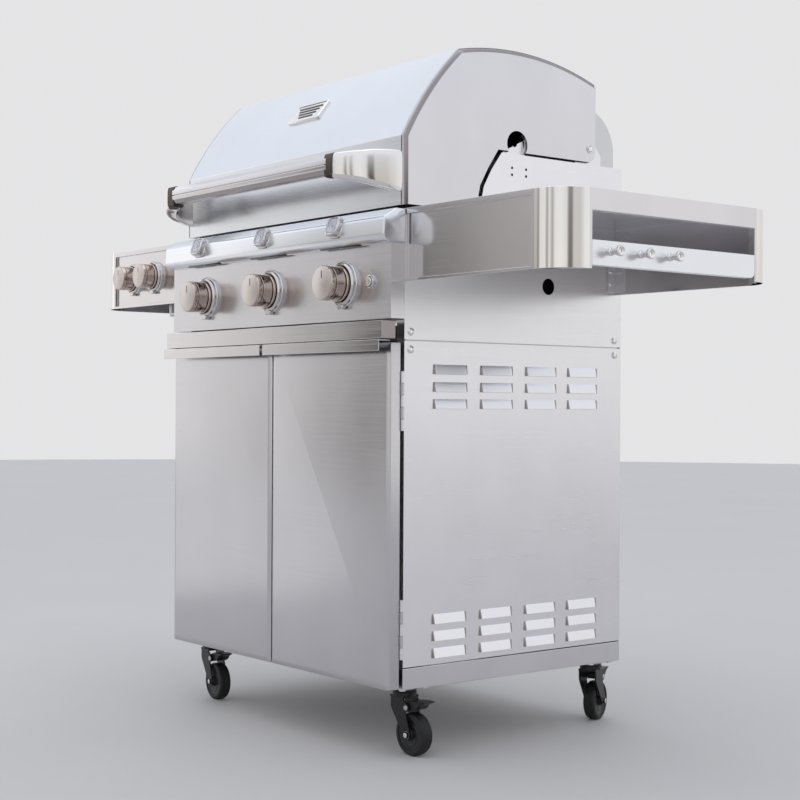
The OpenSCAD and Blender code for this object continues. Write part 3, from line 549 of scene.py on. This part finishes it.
def smooth_path(keys, steps):
    """Catmull-Rom points through rows of numbers."""
    rows = []
    for i in range(len(keys) - 1):
        p = [keys[max(0, min(len(keys) - 1, i + k))] for k in (-1, 0, 1, 2)]
        for s in range(steps):
            t = s / steps
            rows.append([0.5 * (2 * b + (c - a) * t + (2 * a - 5 * b + 4 * c - d) * t * t
                                + (3 * b - a - 3 * c + d) * t ** 3)
                         for a, b, c, d in zip(*p)])
    return rows + [list(keys[-1])]


def handle_brackets():
    """Swept castings with rounded sections and a crowned outer face."""
    rows = smooth_path(BRACKET, 5)
    full = 1.2
    rings = []
    for i, (x, y, thick, high, mid) in enumerate(rows):
        before, after = rows[max(0, i - 1)], rows[min(len(rows) - 1, i + 1)]
        way = Vector((after[0] - before[0], after[1] - before[1])).normalized()
        out = Vector((way.y, -way.x))
        ring = []
        for across, up in squircle(thick, high, 7, 56):
            crown = full * (1 - (2 * up / high) ** 2) if across > 0 else 0
            reach = across - thick / 2 + crown - full
            ring.append((x + out.x * reach, y + out.y * reach, mid + up))
        rings.append(ring)
    piece("handle_brackets_cast", Shape().loft(rings).mirrored(), "hood", "polished",
          ["handle_brackets"], crease=50)


handle()
handle_brackets()


def badge():
    """A plain plate with a raised frame and four ribs, and no lettering."""
    low, high = span("hood_badge")
    tilt = math.radians(52)
    normal = Vector((0, -math.sin(tilt), math.cos(tilt)))
    upwards = Vector((0, math.cos(tilt), math.sin(tilt)))
    seat = Vector((-12, (low.y + high.y) / 2, (low.z + high.z) / 2)) - normal * 1.2
    plate = [(rounded(104, 50, 5), -4), (rounded(104, 50, 5), 3.0), (rounded(101, 47, 4), 4.2),
             (rounded(95, 41, 3), 4.2), (rounded(94, 40, 3), 2.6)]
    piece("badge_frame", Shape().stack(plate, seat, normal), "hood", "polished",
          ["hood_badge"], crease=30)
    ribs = Shape()
    for k in range(4):
        width = 78 - 10 * k
        ribs.stack([(rounded(width, 3.4, 1.6), 0), (rounded(width, 3.4, 1.6), 3.2),
                    (rounded(width - 1, 2.4, 1.1), 3.8)], seat + upwards * (12 - 8 * k), normal)
    piece("badge_ribs", ribs, "hood", "dark_metal_and_painted_shade", crease=30)


badge()


# ---------------------------------------------------------------- visor and gauges
VISOR_X = span("visor")[1].x
GAUGE_TILT = math.radians(20)
GAUGE_OUT = Vector((0, -math.cos(GAUGE_TILT), math.sin(GAUGE_TILT)))
KNOB_XS = [(span(n)[0].x + span(n)[1].x) / 2 for n in ("knob_left", "knob_centre", "knob_right")]


def band(a, ra, b, rb):
    """Bearing from circle a to circle b and the lean of their outer tangent, in degrees."""
    way = Vector(b) - Vector(a)
    turn = math.degrees(math.atan2(way.y, way.x))
    lean = math.degrees(math.acos((ra - rb) / way.length))
    return turn, lean


def visor_outline():
    """Side outline: flat bottom, rounded lip, front face and a round shoulder to the top."""
    low, lip, shoulder = Vector((-36, 911.5)), Vector((-38, 934)), Vector((-20, 947))
    r0, r1, r2 = 14.5, 11, 10
    t1, l1 = band(low, r0, lip, r1)
    t2, l2 = band(lip, r1, shoulder, r2)
    line = [(-1, 957), (-20, 957)]
    line += arc(shoulder, r2, 90, t2 + l2, 4)
    line += arc(lip, r1, t2 + l2, t1 + l1, 8)
    line += arc(low, r0, t1 + l1, 270, 14)
    line += [(-1, 897)]
    return line


def visor():
    """The rounded rail over the control panel."""
    outline = visor_outline()[::-1]
    # its rounded end: (inset of the outline, distance in from the end)
    ends = [(3.0, 0.0), (1.4, 0.5), (0.4, 1.5), (0.0, 3.2)]
    right = [[(VISOR_X - back, p.x, p.y) for p in offset(outline, [inset] * len(outline))]
             for inset, back in ends]
    left = [[(-x, y, z) for x, y, z in ring] for ring in reversed(right)]
    piece("visor_shell", Shape().loft(right + left), "cart", "steel_top",
          ["visor"], crease=40)


def gauges():
    """Square gauges on the visor: case, dial, lens, ticks and needle."""
    cases, dials, glasses, marks = Shape(), Shape(), Shape(), Shape()
    for x in KNOB_XS:
        at = Vector((x, -47, 931))
        cases.stack([(rounded(39, 39, 11), -4), (rounded(39, 39, 11), 1.0),
                     (rounded(37.6, 37.6, 10.4), 2.2), (rounded(36, 36, 10), 2.6),
                     (rounded(36, 36, 10), 9.5), (rounded(35, 35, 9.6), 11.4),
                     (rounded(33, 33, 9), 12.6), (rounded(30.4, 30.4, 8), 12.8),
                     (rounded(29, 29, 7.4), 12.0), (rounded(28.4, 28.4, 7.2), 9.0)], at,
                    GAUGE_OUT)
        dials.stack([(rounded(27.6, 27.6, 7), 8.6), (rounded(27.6, 27.6, 7), 9.4)], at, GAUGE_OUT)
        glasses.stack([(rounded(28, 28, 7), 10.6), (rounded(28, 28, 7), 11.4),
                       (rounded(24, 24, 6), 12.0)], at, GAUGE_OUT)
        turn = frame_of(GAUGE_OUT)
        for k in range(9):
            a = math.radians(-30 + 30 * k)
            way = Vector((math.cos(a), math.sin(a), 0))
            side = Vector((-way.y, way.x, 0)) * 0.45
            near, far = way * 8.6, way * 11.0
            ring = [near + side, near - side, far - side, far + side]
            marks.loft([[at + turn @ (p + Vector((0, 0, z))) for p in ring] for z in (9.3, 9.6)])
        marks.lathe([(1.6, 9.3), (1.6, 10.1), (0.9, 10.4)], at, GAUGE_OUT, 24)
        needle = [Vector((-0.7, -2, 0)), Vector((0.7, -2, 0)), Vector((0.2, 9, 0)),
                  Vector((-0.2, 9, 0))]
        marks.loft([[at + turn @ (Matrix.Rotation(0.7, 3, "Z") @ p + Vector((0, 0, z)))
                     for p in needle] for z in (9.7, 10.0)])
    piece("gauge_cases", cases, "cart", "chrome", ["gauges"], crease=40)
    piece("gauge_dials", dials, "cart", "dial", crease=30)
    piece("gauge_marks", marks, "cart", "black_plastic", crease=30)
    piece("gauge_lenses", glasses, "cart", "glass", ["gauge_glasses"], crease=30)


def light_strips():
    """The lights in the visor's underside, one over each knob."""
    shape, dots = Shape(), Shape()
    for x in KNOB_XS:
        seat, down = (x, -38, 897), (0, 0, -1)
        shape.stack([(rounded(122, 8.5, 3), -3), (rounded(122, 8.5, 3), 0.5),
                     (rounded(120.5, 7, 2.6), 0.9), (rounded(119, 5.4, 2.2), 0.1)], seat, down)
        dots.lathe([(2.2, -1), (2.2, 1.6), (1.4, 2.2)], seat, down, 24)
    piece("light_strips", shape, "cart", "lamp", ["light_bars"], crease=30)
    piece("light_studs", dots, "cart", "polished", crease=30)


visor()
gauges()
light_strips()

# ---------------------------------------------------------------- knobs
# (radius, reach from the panel) of a large knob and of its bezel
KNOB_PROFILE = [(30.5, 5.0), (32.0, 5.0), (32.5, 6.0), (32.5, 15.6), (31.6, 16.8), (29.6, 17.0),
                (29.4, 18.9), (30.6, 19.1), (31.0, 19.8), (31.0, 37.4), (30.6, 38.0),
                (29.5, 38.2), (29.5, 39.4), (30.6, 39.6), (31.0, 40.2), (31.0, 47.2),
                (30.5, 48.8), (29.4, 49.8), (28.6, 50.0)]
BEZEL_PROFILE = [(33.6, 0.0), (41.0, 0.0), (41.0, 2.4), (40.2, 3.4), (39.0, 3.8), (38.7, 5.0),
                 (38.7, 8.4), (38.0, 9.4), (36.6, 10.2), (35.8, 11.0), (34.6, 11.0),
                 (34.0, 10.4), (33.6, 9.0)]
KNOB_REACH = 50
KNOB_Z = 832
SIDE_SCALE = 0.84
FORWARD = (0, -1, 0)


def knob(node, scale):
    """A turned knob with a brushed face, two grooves painted dark as painted shade, and an index
    mark.
    """
    low, high = span(node)
    centre = Vector(((low.x + high.x) / 2, low.y + KNOB_REACH * scale, (low.z + high.z) / 2))
    shape = Shape().lathe([(r * scale, h * scale) for r, h in KNOB_PROFILE], centre,
                          FORWARD, 96)
    shape.lathe([(4 * scale, -18 * scale), (4 * scale, 6 * scale)], centre, FORWARD, 32)
    piece(node + "_turned", shape, node, "nickel", [node], crease=28)
    face = Shape().lathe([(28.4 * scale, 49.6 * scale), (28.4 * scale, 50.0 * scale),
                          (27.9 * scale, 50.2 * scale)], centre, FORWARD, 96)
    piece(node + "_face", face, node, "nickel_face", crease=40)
    # dark rings laid in the two grooves: painted shade
    rings = Shape()
    for start, stop, radius in ((17.1, 18.8, 30.0), (38.3, 39.3, 30.1)):
        rings.lathe([(radius * scale, start * scale), (radius * scale, stop * scale)], centre,
                    FORWARD, 96)
    piece(node + "_painted_groove_shade", rings, node, "dark_metal_and_painted_shade", crease=30)
    bar = rounded(2.2 * scale, 14 * scale, scale)
    mark = Shape().stack([(bar, 49.9 * scale), (bar, 50.35 * scale)],
                         centre + Vector((0, 0, 15 * scale)), FORWARD)
    piece(node + "_index", mark, node, "black_metal", crease=30)


def bezels():
    """The rings behind the knobs, each with a pad under it, and the push button's ring."""
    shape = Shape()
    seats = [(x, span("knob_left")[0].y + KNOB_REACH, KNOB_Z, 1.0) for x in KNOB_XS]
    for node in ("side_knob_outer", "side_knob_inner"):
        low, high = span(node)
        seats.append(((low.x + high.x) / 2, low.y + KNOB_REACH * SIDE_SCALE,
                      (low.z + high.z) / 2, SIDE_SCALE))
    for x, y, z, s in seats:
        shape.lathe([(r * s, h * s) for r, h in BEZEL_PROFILE], (x, y, z), FORWARD, 96, True)
        shape.stack([(rounded(17 * s, 10 * s, 4 * s), 2.6 * s),
                     (rounded(17 * s, 10 * s, 4 * s), 9.6 * s),
                     (rounded(14 * s, 7.4 * s, 3.4 * s), 11 * s)],
                    (x, y, z - 40 * s), FORWARD)
    low, high = span("light_button")
    centre = ((low.x + high.x) / 2, low.y + 8, (low.z + high.z) / 2)
    shape.lathe([(9.4, 0), (12, 0), (12, 3.0), (11.2, 4.6), (10, 5), (9.4, 4.4)], centre,
                FORWARD, 48, True)
    piece("bezels", shape, "cart", "chrome", ["knob_bezels"], crease=34)


for node in ("knob_left", "knob_centre", "knob_right"):
    knob(node, 1.0)
for node in ("side_knob_outer", "side_knob_inner"):
    knob(node, SIDE_SCALE)
bezels()

# ---------------------------------------------------------------- side panels
PANEL_LOW, PANEL_HIGH = span("side_panel_right")
HALF_W = TRAY_HIGH.x / MM - ORIGIN.x / MM
SEAM = 2.0   # open joint above and below a lower side panel
PANEL_Z0, PANEL_Z1 = PANEL_LOW.z + SEAM, PANEL_HIGH.z - SEAM
PANEL_D = PANEL_HIGH.y
SHEET = 1.5
LOUVRE_YS = (64, 174, 284, 392)
LOUVRE_ZS = (171, 201, 231, 610, 640, 671)
LOUVRE_L, LOUVRE_H, LOUVRE_OUT = 80, 17, 4.0
HINGE_ZS = (174, 571)


def louvre_bulge(s, t):
    """Reach of a louvre's hood, s along it and t down it, both from 0 to 1."""
    end = min(s, 1 - s) * LOUVRE_L / 8
    round_end = math.sqrt(max(0.0, 1 - (1 - min(1.0, end)) ** 2))
    return LOUVRE_OUT * round_end * t ** 0.85


def hinge_barrels(shape, first):
    """Half of each door hinge: every other knuckle from the first, its tab, and the leaf."""
    x, y, radius, count, height, sheet = HALF_W - 1, -3, 3, 5, 104, 1.2
    step = height / count
    leaf = -sheet if first == 0 else -6
    for base in HINGE_ZS:
        for i in range(first, count, 2):
            z = base + i * step
            shape.lathe([(radius - 0.4, 0.2), (radius, 0.6), (radius, step - 0.6),
                         (radius - 0.4, step - 0.2)], (x, y, z), (0, 0, 1), 32)
            shape.box((x - 6, leaf, z + 0.3), (x - 1.8, leaf + sheet, z + step - 0.3))
        shape.box((x - 21, leaf, base), (x - 6, leaf + sheet, base + height))


def louvred_panel():
    """A folded side panel whose louvres are pressed out of the sheet."""
    shape = Shape()
    bm = shape.bm
    ys = sorted({0.0, PANEL_D} | {y for v in LOUVRE_YS for y in (v, v + LOUVRE_L)})
    zs = sorted({PANEL_Z0, PANEL_Z1} | {z for v in LOUVRE_ZS for z in (v, v + LOUVRE_H)})
    for y0, y1 in zip(ys, ys[1:]):
        for z0, z1 in zip(zs, zs[1:]):
            if y0 in LOUVRE_YS and z0 in LOUVRE_ZS:
                columns, rows = 26, 8
                # the hood: columns are packed towards its round ends
                share = [0.5 - 0.5 * math.cos(math.pi * i / columns) for i in range(columns + 1)]
                grid = []
                for t in (j / rows for j in range(rows + 1)):
                    grid.append([bm.verts.new((HALF_W + louvre_bulge(s, t), y0 + s * LOUVRE_L,
                                               z1 - LOUVRE_H * t)) for s in share])
                for a, b in zip(grid, grid[1:]):
                    for i in range(columns):
                        bm.faces.new((a[i], b[i], b[i + 1], a[i + 1]))
            else:
                corners = [(HALF_W, y0, z0), (HALF_W, y1, z0), (HALF_W, y1, z1),
                           (HALF_W, y0, z1)]
                bm.faces.new([bm.verts.new(p) for p in corners])
    bmesh.ops.remove_doubles(bm, verts=bm.verts[:], dist=0.01)
    bmesh.ops.recalc_face_normals(bm, faces=bm.faces[:])
    if sum(f.normal.x for f in bm.faces) < 0:
        bmesh.ops.reverse_faces(bm, faces=bm.faces[:])
    bmesh.ops.solidify(bm, geom=bm.faces[:], thickness=SHEET)
    # folded front and rear flanges
    for y in (0, PANEL_D - 2 * SHEET):
        shape.box((HALF_W - 20, y, PANEL_Z0), (HALF_W - 1, y + SHEET, PANEL_Z1))
    hinge_barrels(shape, 0)
    return shape


def flipped(shape):
    """The mirror image of a shape across the grill's centre line."""
    for vert in shape.bm.verts:
        vert.co.x = -vert.co.x
    bmesh.ops.reverse_faces(shape.bm, faces=shape.bm.faces[:])
    return shape


def louvre_end_painted_shade(at):
    """Whether a face is on the round end of a louvre's hood, which is painted dark as painted
    shade.
    """
    return (abs(at.x) > HALF_W + 0.05
            and any(min(at.y - y, y + LOUVRE_L - at.y) < 4.2 for y in LOUVRE_YS
                    if y < at.y < y + LOUVRE_L))


# the louvres' round ends are painted dark, as painted shade
for side, panel in (("right", louvred_panel()), ("left", flipped(louvred_panel()))):
    piece("louvred_panel_" + side, panel, "cart", "steel_side",
          ["side_panel_" + side], crease=30, accent="steel_painted_shade", accented=louvre_end_painted_shade)

# ---------------------------------------------------------------- doors
DOOR_X0, DOOR_X1 = 1.5, HALF_W - 3
DOOR_Y0, DOOR_Y1 = -30, -6
DOOR_Z0, DOOR_Z1 = 122, 725


def door():
    """A folded pan with a chamfered border, its back panel and its hinge leaves."""
    middle = ((DOOR_X0 + DOOR_X1) / 2, 0, (DOOR_Z0 + DOOR_Z1) / 2)
    width, height = DOOR_X1 - DOOR_X0, DOOR_Z1 - DOOR_Z0
    # (inset of the outline, y), from the back panel to the front
    section = [(8, DOOR_Y1 + 0.8), (1.5, DOOR_Y1 + 0.8), (1.5, DOOR_Y1), (0.2, DOOR_Y1),
               (0, DOOR_Y1 - 0.4), (0, DOOR_Y0 + 3.6), (0.3, DOOR_Y0 + 3.1),
               (0.9, DOOR_Y0 + 2.8), (8.6, DOOR_Y0 + 0.1), (9.6, DOOR_Y0)]
    layers = [(rounded(width - 2 * i, height - 2 * i, max(0.3, 2.2 - i / 8), 4), -y)
              for i, y in section]
    shape = Shape().stack(layers, middle, FORWARD)
    hinge_barrels(shape, 1)
    return shape


# the doors get the darker steel, which is painted shade
for node, leaf in (("door_right", door()), ("door_left", flipped(door()))):
    piece(node + "_panel", leaf, node, "steel_door_painted_shade", [node], crease=12)

# ---------------------------------------------------------------- shelf end
RAIL_LOW, RAIL_HIGH = span("hook_rail")


def hook_rail():
    """An upright plate with a rounded lower rear corner and folded edges."""
    y0, y1, z0, z1 = RAIL_LOW.y, RAIL_HIGH.y, RAIL_LOW.z, RAIL_HIGH.z
    turn = 10
    outline = [(y0, z0)] + arc((y1 - turn, z0 + turn), turn, -90, 0, 8) + [(y1, z1), (y0, z1)]
    shape = Shape().prism(outline, "x", RAIL_HIGH.x - SHEET, SHEET)
    shape.box((RAIL_HIGH.x - 14, y0, z1 - SHEET), (RAIL_HIGH.x - 0.8, y1, z1))
    shape.box((RAIL_HIGH.x - 14, y0, z0), (RAIL_HIGH.x - 0.8, y1 - turn, z0 + SHEET))
    piece("hook_rail_plate", shape, "cart", "steel_top", ["hook_rail"],
          bevel=0.6, segments=3)


HOOK_YS = (105, 174, 243)
# (radius, reach from the rail): foot, neck and flared head
HOOK_PROFILE = [(6.6, 0), (6.6, 2.2), (6.0, 3.0), (5.3, 3.8), (5.2, 8.0), (5.8, 11.0),
                (7.4, 16.5), (8.5, 20.0), (8.8, 21.4), (8.8, 22.8), (8.2, 23.8), (7.2, 24.0),
                (5.0, 22.6), (3.4, 22.4), (3.2, 20.6), (0.6, 20.4)]


def hooks():
    """Three round tool hooks on the rail."""
    low, high = span("tool_hooks")
    shape = Shape()
    for y in HOOK_YS:
        shape.lathe(HOOK_PROFILE, (low.x, y, (low.z + high.z) / 2), (1, 0, 0), 48)
    piece("hooks", shape, "cart", "polished", ["tool_hooks"], crease=40)


hook_rail()
hooks()

# ---------------------------------------------------------------- fasteners
# (y, z) of the side panels' screws and of the hood's pivot
SCREWS = [(14, 744), (14, 713), (519, 743), (520, 715)]
PIVOT = (453, 1109)


def screws():
    """Panel screws, shelf bracket screws, hood pivots with their clips and caster bolts."""
    shape = Shape()
    head = [(7, 0), (7, 0.5), (6.6, 1.4), (5.6, 2.3), (4.2, 2.8), (3.0, 2.95), (2.6, 2.0)]
    for y, z in SCREWS:
        shape.lathe(head, (HALF_W, y, z), (1, 0, 0), 40)
    # screws of the shelves' brackets
    for y in (16, 505):
        for z in (852, 876, 900):
            shape.lathe([(4, 0), (4, 1), (3, 2), (1.2, 2.2)], (HALF_W + 3, y, z), (1, 0, 0), 24)
    y, z = PIVOT
    shape.lathe([(5, -10), (5, 1.5), (4.4, 2.4), (2, 2.8)], (CAP_X, y, z), (1, 0, 0), 32)
    # retaining clip: an open ring of wire round the pivot
    clip_r, wire_r, turns, sides = 7, 1.1, 28, 10
    rings = []
    for i in range(turns + 1):
        a = math.radians(60 + 294 * i / turns)
        ring = []
        for k in range(sides):
            b = 2 * math.pi * k / sides
            r = clip_r + wire_r * math.cos(b)
            ring.append((CAP_X + wire_r + math.sin(b), y + r * math.cos(a), z + r * math.sin(a)))
        rings.append(ring)
    shape.loft(rings)
    shape.mirrored()
    hexagon, narrow = arc((0, 0), 6, 0, 300, 5), arc((0, 0), 4.8, 0, 300, 5)
    plate_z, pitch = 118, 25
    for x, y, _ in CASTERS.values():
        for dx in (-pitch, pitch):
            for dy in (-pitch, pitch):
                shape.stack([(hexagon, 0), (hexagon, 2.4), (narrow, 3.0)],
                            (x + dx, y + dy, plate_z), (0, 0, -1))
    piece("fasteners", shape, "cart", "polished", ["panel_screws"], crease=40)


screws()

# ---------------------------------------------------------------- casters
WHEEL_R, TRAIL, BOSS = 37.5, 26, 14.5
# (radius, distance from the middle) of one half of a tyre and of a hub
TREAD = [(29.0, 9.0), (29.6, 11.2), (31.0, 12.0), (34.4, 11.8), (36.3, 10.4), (37.2, 8.0),
         (37.5, 6.2), (37.5, 4.4), (36.9, 4.0), (36.9, 3.4), (37.5, 3.0)]
HUB = [(4.1, BOSS), (9.6, BOSS), (10.2, 13.8), (10.6, 9.6), (12.6, 9.0), (17.0, 9.4),
       (18.0, 10.2), (19.0, 9.4), (24.0, 9.2), (25.0, 10.4), (27.0, 10.8), (29.0, 10.2)]
# side outline of a brake lever: (distance behind the swivel axis, height)
PEDAL = [(17, 82), (17, 90), (20, 94.5), (26, 96.5), (42, 98.8), (58, 99.2), (65.2, 98.6),
         (65.8, 97), (58, 94.2), (52, 91), (48, 86), (43, 82.6), (34, 80.6), (25, 78.8),
         (20, 79.2)]
# (distance across, inset of the outline) over a lever's width
PEDAL_RIM = [(-13.6, 1.6), (-13.1, 0.5), (-12, 0.0), (12, 0.0), (13.1, 0.5), (13.6, 1.6)]
PIN_BACK, PIN_Z, RACE_Z = 23, 85, 106.4


def both_faces(half):
    """A wheel profile from one face to the other."""
    return [(r, -h) for r, h in half] + [(r, h) for r, h in reversed(half)]


def wheel(body, centre, axle):
    """A tyre and a hub on one body."""
    piece(body + "_tyre", Shape().lathe(both_faces(TREAD), centre, axle, 96, True), body,
          "rubber", [body], crease=30)
    piece(body + "_hub", Shape().lathe(both_faces(HUB), centre, axle, 96, True), body, "hub",
          crease=30)


def brake_lever(corner, foot, along, axle):
    """A lever with rounded edges and four ribs across its tread."""
    rings = [[foot + along * p.x + axle * across + Vector((0, 0, p.y))
              for p in offset(PEDAL, [inset] * len(PEDAL))] for across, inset in PEDAL_RIM]
    pedal = Shape().loft(rings)
    rib = [(-10, -0.8), (10, -0.8), (10, 0.8), (-10, 0.8)]
    for k in range(4):
        at = foot + along * (46 + 4 * k) + Vector((0, 0, 98.6 - 0.4 * k))
        pedal.loft([[at + axle * c + along * d + Vector((0, 0, h)) for c, d in rib]
                    for h in (-0.5, 0.6)])
    piece("pedal_" + corner + "_lever", pedal, "pedal_" + corner, "black_plastic",
          ["pedal_" + corner], bevel=0.6)


def casters():
    """The wheel, axle bolt, brake lever, lever pin and ball race of each caster."""
    bolt_end = [(6.8, 18.0), (6.8, 18.8), (5.8, 19.0), (5.8, 21.2), (4.4, 22.0), (1.5, 22.2)]
    for corner, (x, y, heading) in CASTERS.items():
        foot = Vector((x, y, 0))
        a = math.radians(heading)
        along = Vector((math.cos(a), math.sin(a), 0))
        axle = Vector((-along.y, along.x, 0))
        centre = foot + along * TRAIL + Vector((0, 0, WHEEL_R))
        wheel("wheel_" + corner, centre, axle)
        fork = "fork_" + corner
        bolts = Shape().lathe(bolt_end, centre, axle, 6).lathe(bolt_end, centre, -axle, 32)
        piece(fork + "_bolts", bolts, fork, "polished", crease=30)
        brake_lever(corner, foot, along, axle)
        pins = Shape()
        for side in (-1, 1):
            pins.lathe([(5.0, 17.6), (5.0, 18.6), (3.8, 19.6), (1.2, 19.9)],
                       foot + along * PIN_BACK + Vector((0, 0, PIN_Z)), axle * side, 24)
        piece(fork + "_pins", pins, fork, "plated", crease=30)
        race = Shape().lathe([(19.5, 0), (21.6, 0.6), (21.8, 3.2), (20.6, 5.4), (18.6, 6.2)],
                             (x, y, RACE_Z), (0, 0, 1), 64)
        piece(fork + "_race", race, fork, "black_metal", crease=30)


casters()

# ---------------------------------------------------------------- floor, light and camera
# (bearing in degrees from +X towards +Y, glow) of the cards round the grill
CARDS = [(-180, 0.92), (-158, 0.92), (-149.5, 0.74), (-144.8, 0.08), (-141.0, 0.05),
         (-138.5, 0.52), (-127, 0.52), (-122, 0.18), (-115, 0.85), (-99, 0.90), (-92, 0.30),
         (-86, 0.90), (-76, 0.40), (-69, 0.90), (-54, 0.97), (-36, 0.85), (-29, 0.15),
         (-21, 0.15), (-15, 0.66), (5, 0.66), (20, 0.96), (48, 1.0), (90, 0.80), (144, 0.80),
         (180, 0.92)]
CARD_TOP = (0.02, 0.44)   # where the cards give way to the ceiling, as the sine of its rise
ZENITH = (0.93, 0.97, 1.05, 1)
BACKDROP = (0.78, 0.78, 0.79, 1)


def floor():
    """A plain pale floor with a faint cloudiness."""
    bpy.ops.mesh.primitive_circle_add(vertices=96, radius=14, fill_type="NGON")
    disc = bpy.context.object
    disc.name = "floor"
    material, nodes, links, bsdf = shader("floor")
    cloud = noise(nodes, links, (1.4, 1.4, 1.4))
    mix = nodes.new("ShaderNodeMix")
    mix.data_type = "RGBA"
    mix.inputs["A"].default_value = (0.52, 0.505, 0.495, 1)
    mix.inputs["B"].default_value = (0.56, 0.545, 0.535, 1)
    links.new(cloud, mix.inputs["Factor"])
    links.new(mix.outputs["Result"], bsdf.inputs["Base Color"])
    bsdf.inputs["Roughness"].default_value = 0.7
    disc.data.materials.append(material)


def surroundings():
    """What the grill mirrors: a ring of lighter and darker cards under a pale ceiling. The
    camera itself sees a plain backdrop."""
    world = bpy.data.worlds.new("studio")
    world.use_nodes = True
    bpy.context.scene.world = world
    nodes, links = world.node_tree.nodes, world.node_tree.links
    coords = nodes.new("ShaderNodeTexCoord")
    split = nodes.new("ShaderNodeSeparateXYZ")
    links.new(coords.outputs["Generated"], split.inputs["Vector"])
    bearing = nodes.new("ShaderNodeMath")
    bearing.operation = "ARCTAN2"
    links.new(split.outputs["Y"], bearing.inputs[0])
    links.new(split.outputs["X"], bearing.inputs[1])
    cards = nodes.new("ShaderNodeValToRGB")
    links.new(spread(nodes, links, bearing.outputs["Value"], 0, 1, -math.pi, math.pi),
              cards.inputs["Fac"])
    stops = cards.color_ramp.elements
    stops[0].position, stops[1].position = 0.0, 1.0
    for degrees, _ in CARDS[1:-1]:
        stops.new((degrees + 180) / 360)
    for stop, (_, glow) in zip(stops, CARDS):
        warm = 0.22 * (1 - min(1.0, glow))
        stop.color = (glow, glow * (1 - warm / 2), glow * (1 - warm), 1)
    sky = nodes.new("ShaderNodeMix")
    sky.data_type = "RGBA"
    rise = nodes.new("ShaderNodeMapRange")
    rise.interpolation_type = "SMOOTHSTEP"
    rise.inputs["From Min"].default_value, rise.inputs["From Max"].default_value = CARD_TOP
    links.new(split.outputs["Z"], rise.inputs["Value"])
    links.new(rise.outputs["Result"], sky.inputs["Factor"])
    links.new(cards.outputs["Color"], sky.inputs["A"])
    sky.inputs["B"].default_value = ZENITH
    seen = nodes.new("ShaderNodeLightPath")
    shown = nodes.new("ShaderNodeMix")
    shown.data_type = "RGBA"
    links.new(seen.outputs["Is Camera Ray"], shown.inputs["Factor"])
    links.new(sky.outputs["Result"], shown.inputs["A"])
    shown.inputs["B"].default_value = BACKDROP
    links.new(shown.outputs["Result"], nodes["Background"].inputs["Color"])


def softbox(name, place, target, size, glow, colour=(1, 1, 1)):
    """A rectangular light at a place in grill metres that faces the target; glow is how
    bright its face looks in a mirror."""
    light = bpy.data.lights.new(name, "AREA")
    light.shape = "RECTANGLE"
    light.size, light.size_y = size
    light.energy = glow * math.pi * size[0] * size[1]
    light.color = colour
    obj = bpy.data.objects.new(name, light)
    bpy.context.scene.collection.objects.link(obj)
    obj.visible_camera = False
    obj.location = ORIGIN + Vector(place)
    obj.rotation_euler = (Vector(target) - Vector(place)).to_track_quat("-Z", "Y").to_euler()


# place in grill metres, and turns left of straight ahead, upwards and counterclockwise
CAMERA_AT = Vector((2.4716, -1.6572, 0.6179))
AZIMUTH, PITCH, ROLL = (math.radians(d) for d in (51.87, 0.15, 0.30))
LENS, SENSOR = 69.4, 36.0


def camera():
    """The camera at the front right, about level with the middle of the grill."""
    data = bpy.data.cameras.new("camera")
    data.lens, data.sensor_width = LENS, SENSOR
    obj = bpy.data.objects.new("camera", data)
    bpy.context.scene.collection.objects.link(obj)
    forward = Vector((-math.sin(AZIMUTH) * math.cos(PITCH), math.cos(AZIMUTH) * math.cos(PITCH),
                      math.sin(PITCH)))
    level = Vector((math.cos(AZIMUTH), math.sin(AZIMUTH), 0))
    upright = level.cross(forward)
    right = math.cos(ROLL) * level + math.sin(ROLL) * upright
    up = math.cos(ROLL) * upright - math.sin(ROLL) * level
    turn = Matrix((right, up, -forward)).transposed().to_4x4()
    obj.matrix_world = Matrix.Translation(ORIGIN + CAMERA_AT) @ turn
    bpy.context.scene.camera = obj


floor()
surroundings()
softbox("overhead", (0.1, -0.1, 3.4), (0.1, 0.2, 0.6), (3.0, 2.6), 0.5, (0.98, 0.99, 1.0))
softbox("front_left", (-1.25, -0.62, 0.85), (-0.35, 0, 0.8), (0.9, 1.6), 0.34)
camera()
bpy.context.scene.view_settings.view_transform = "Standard"
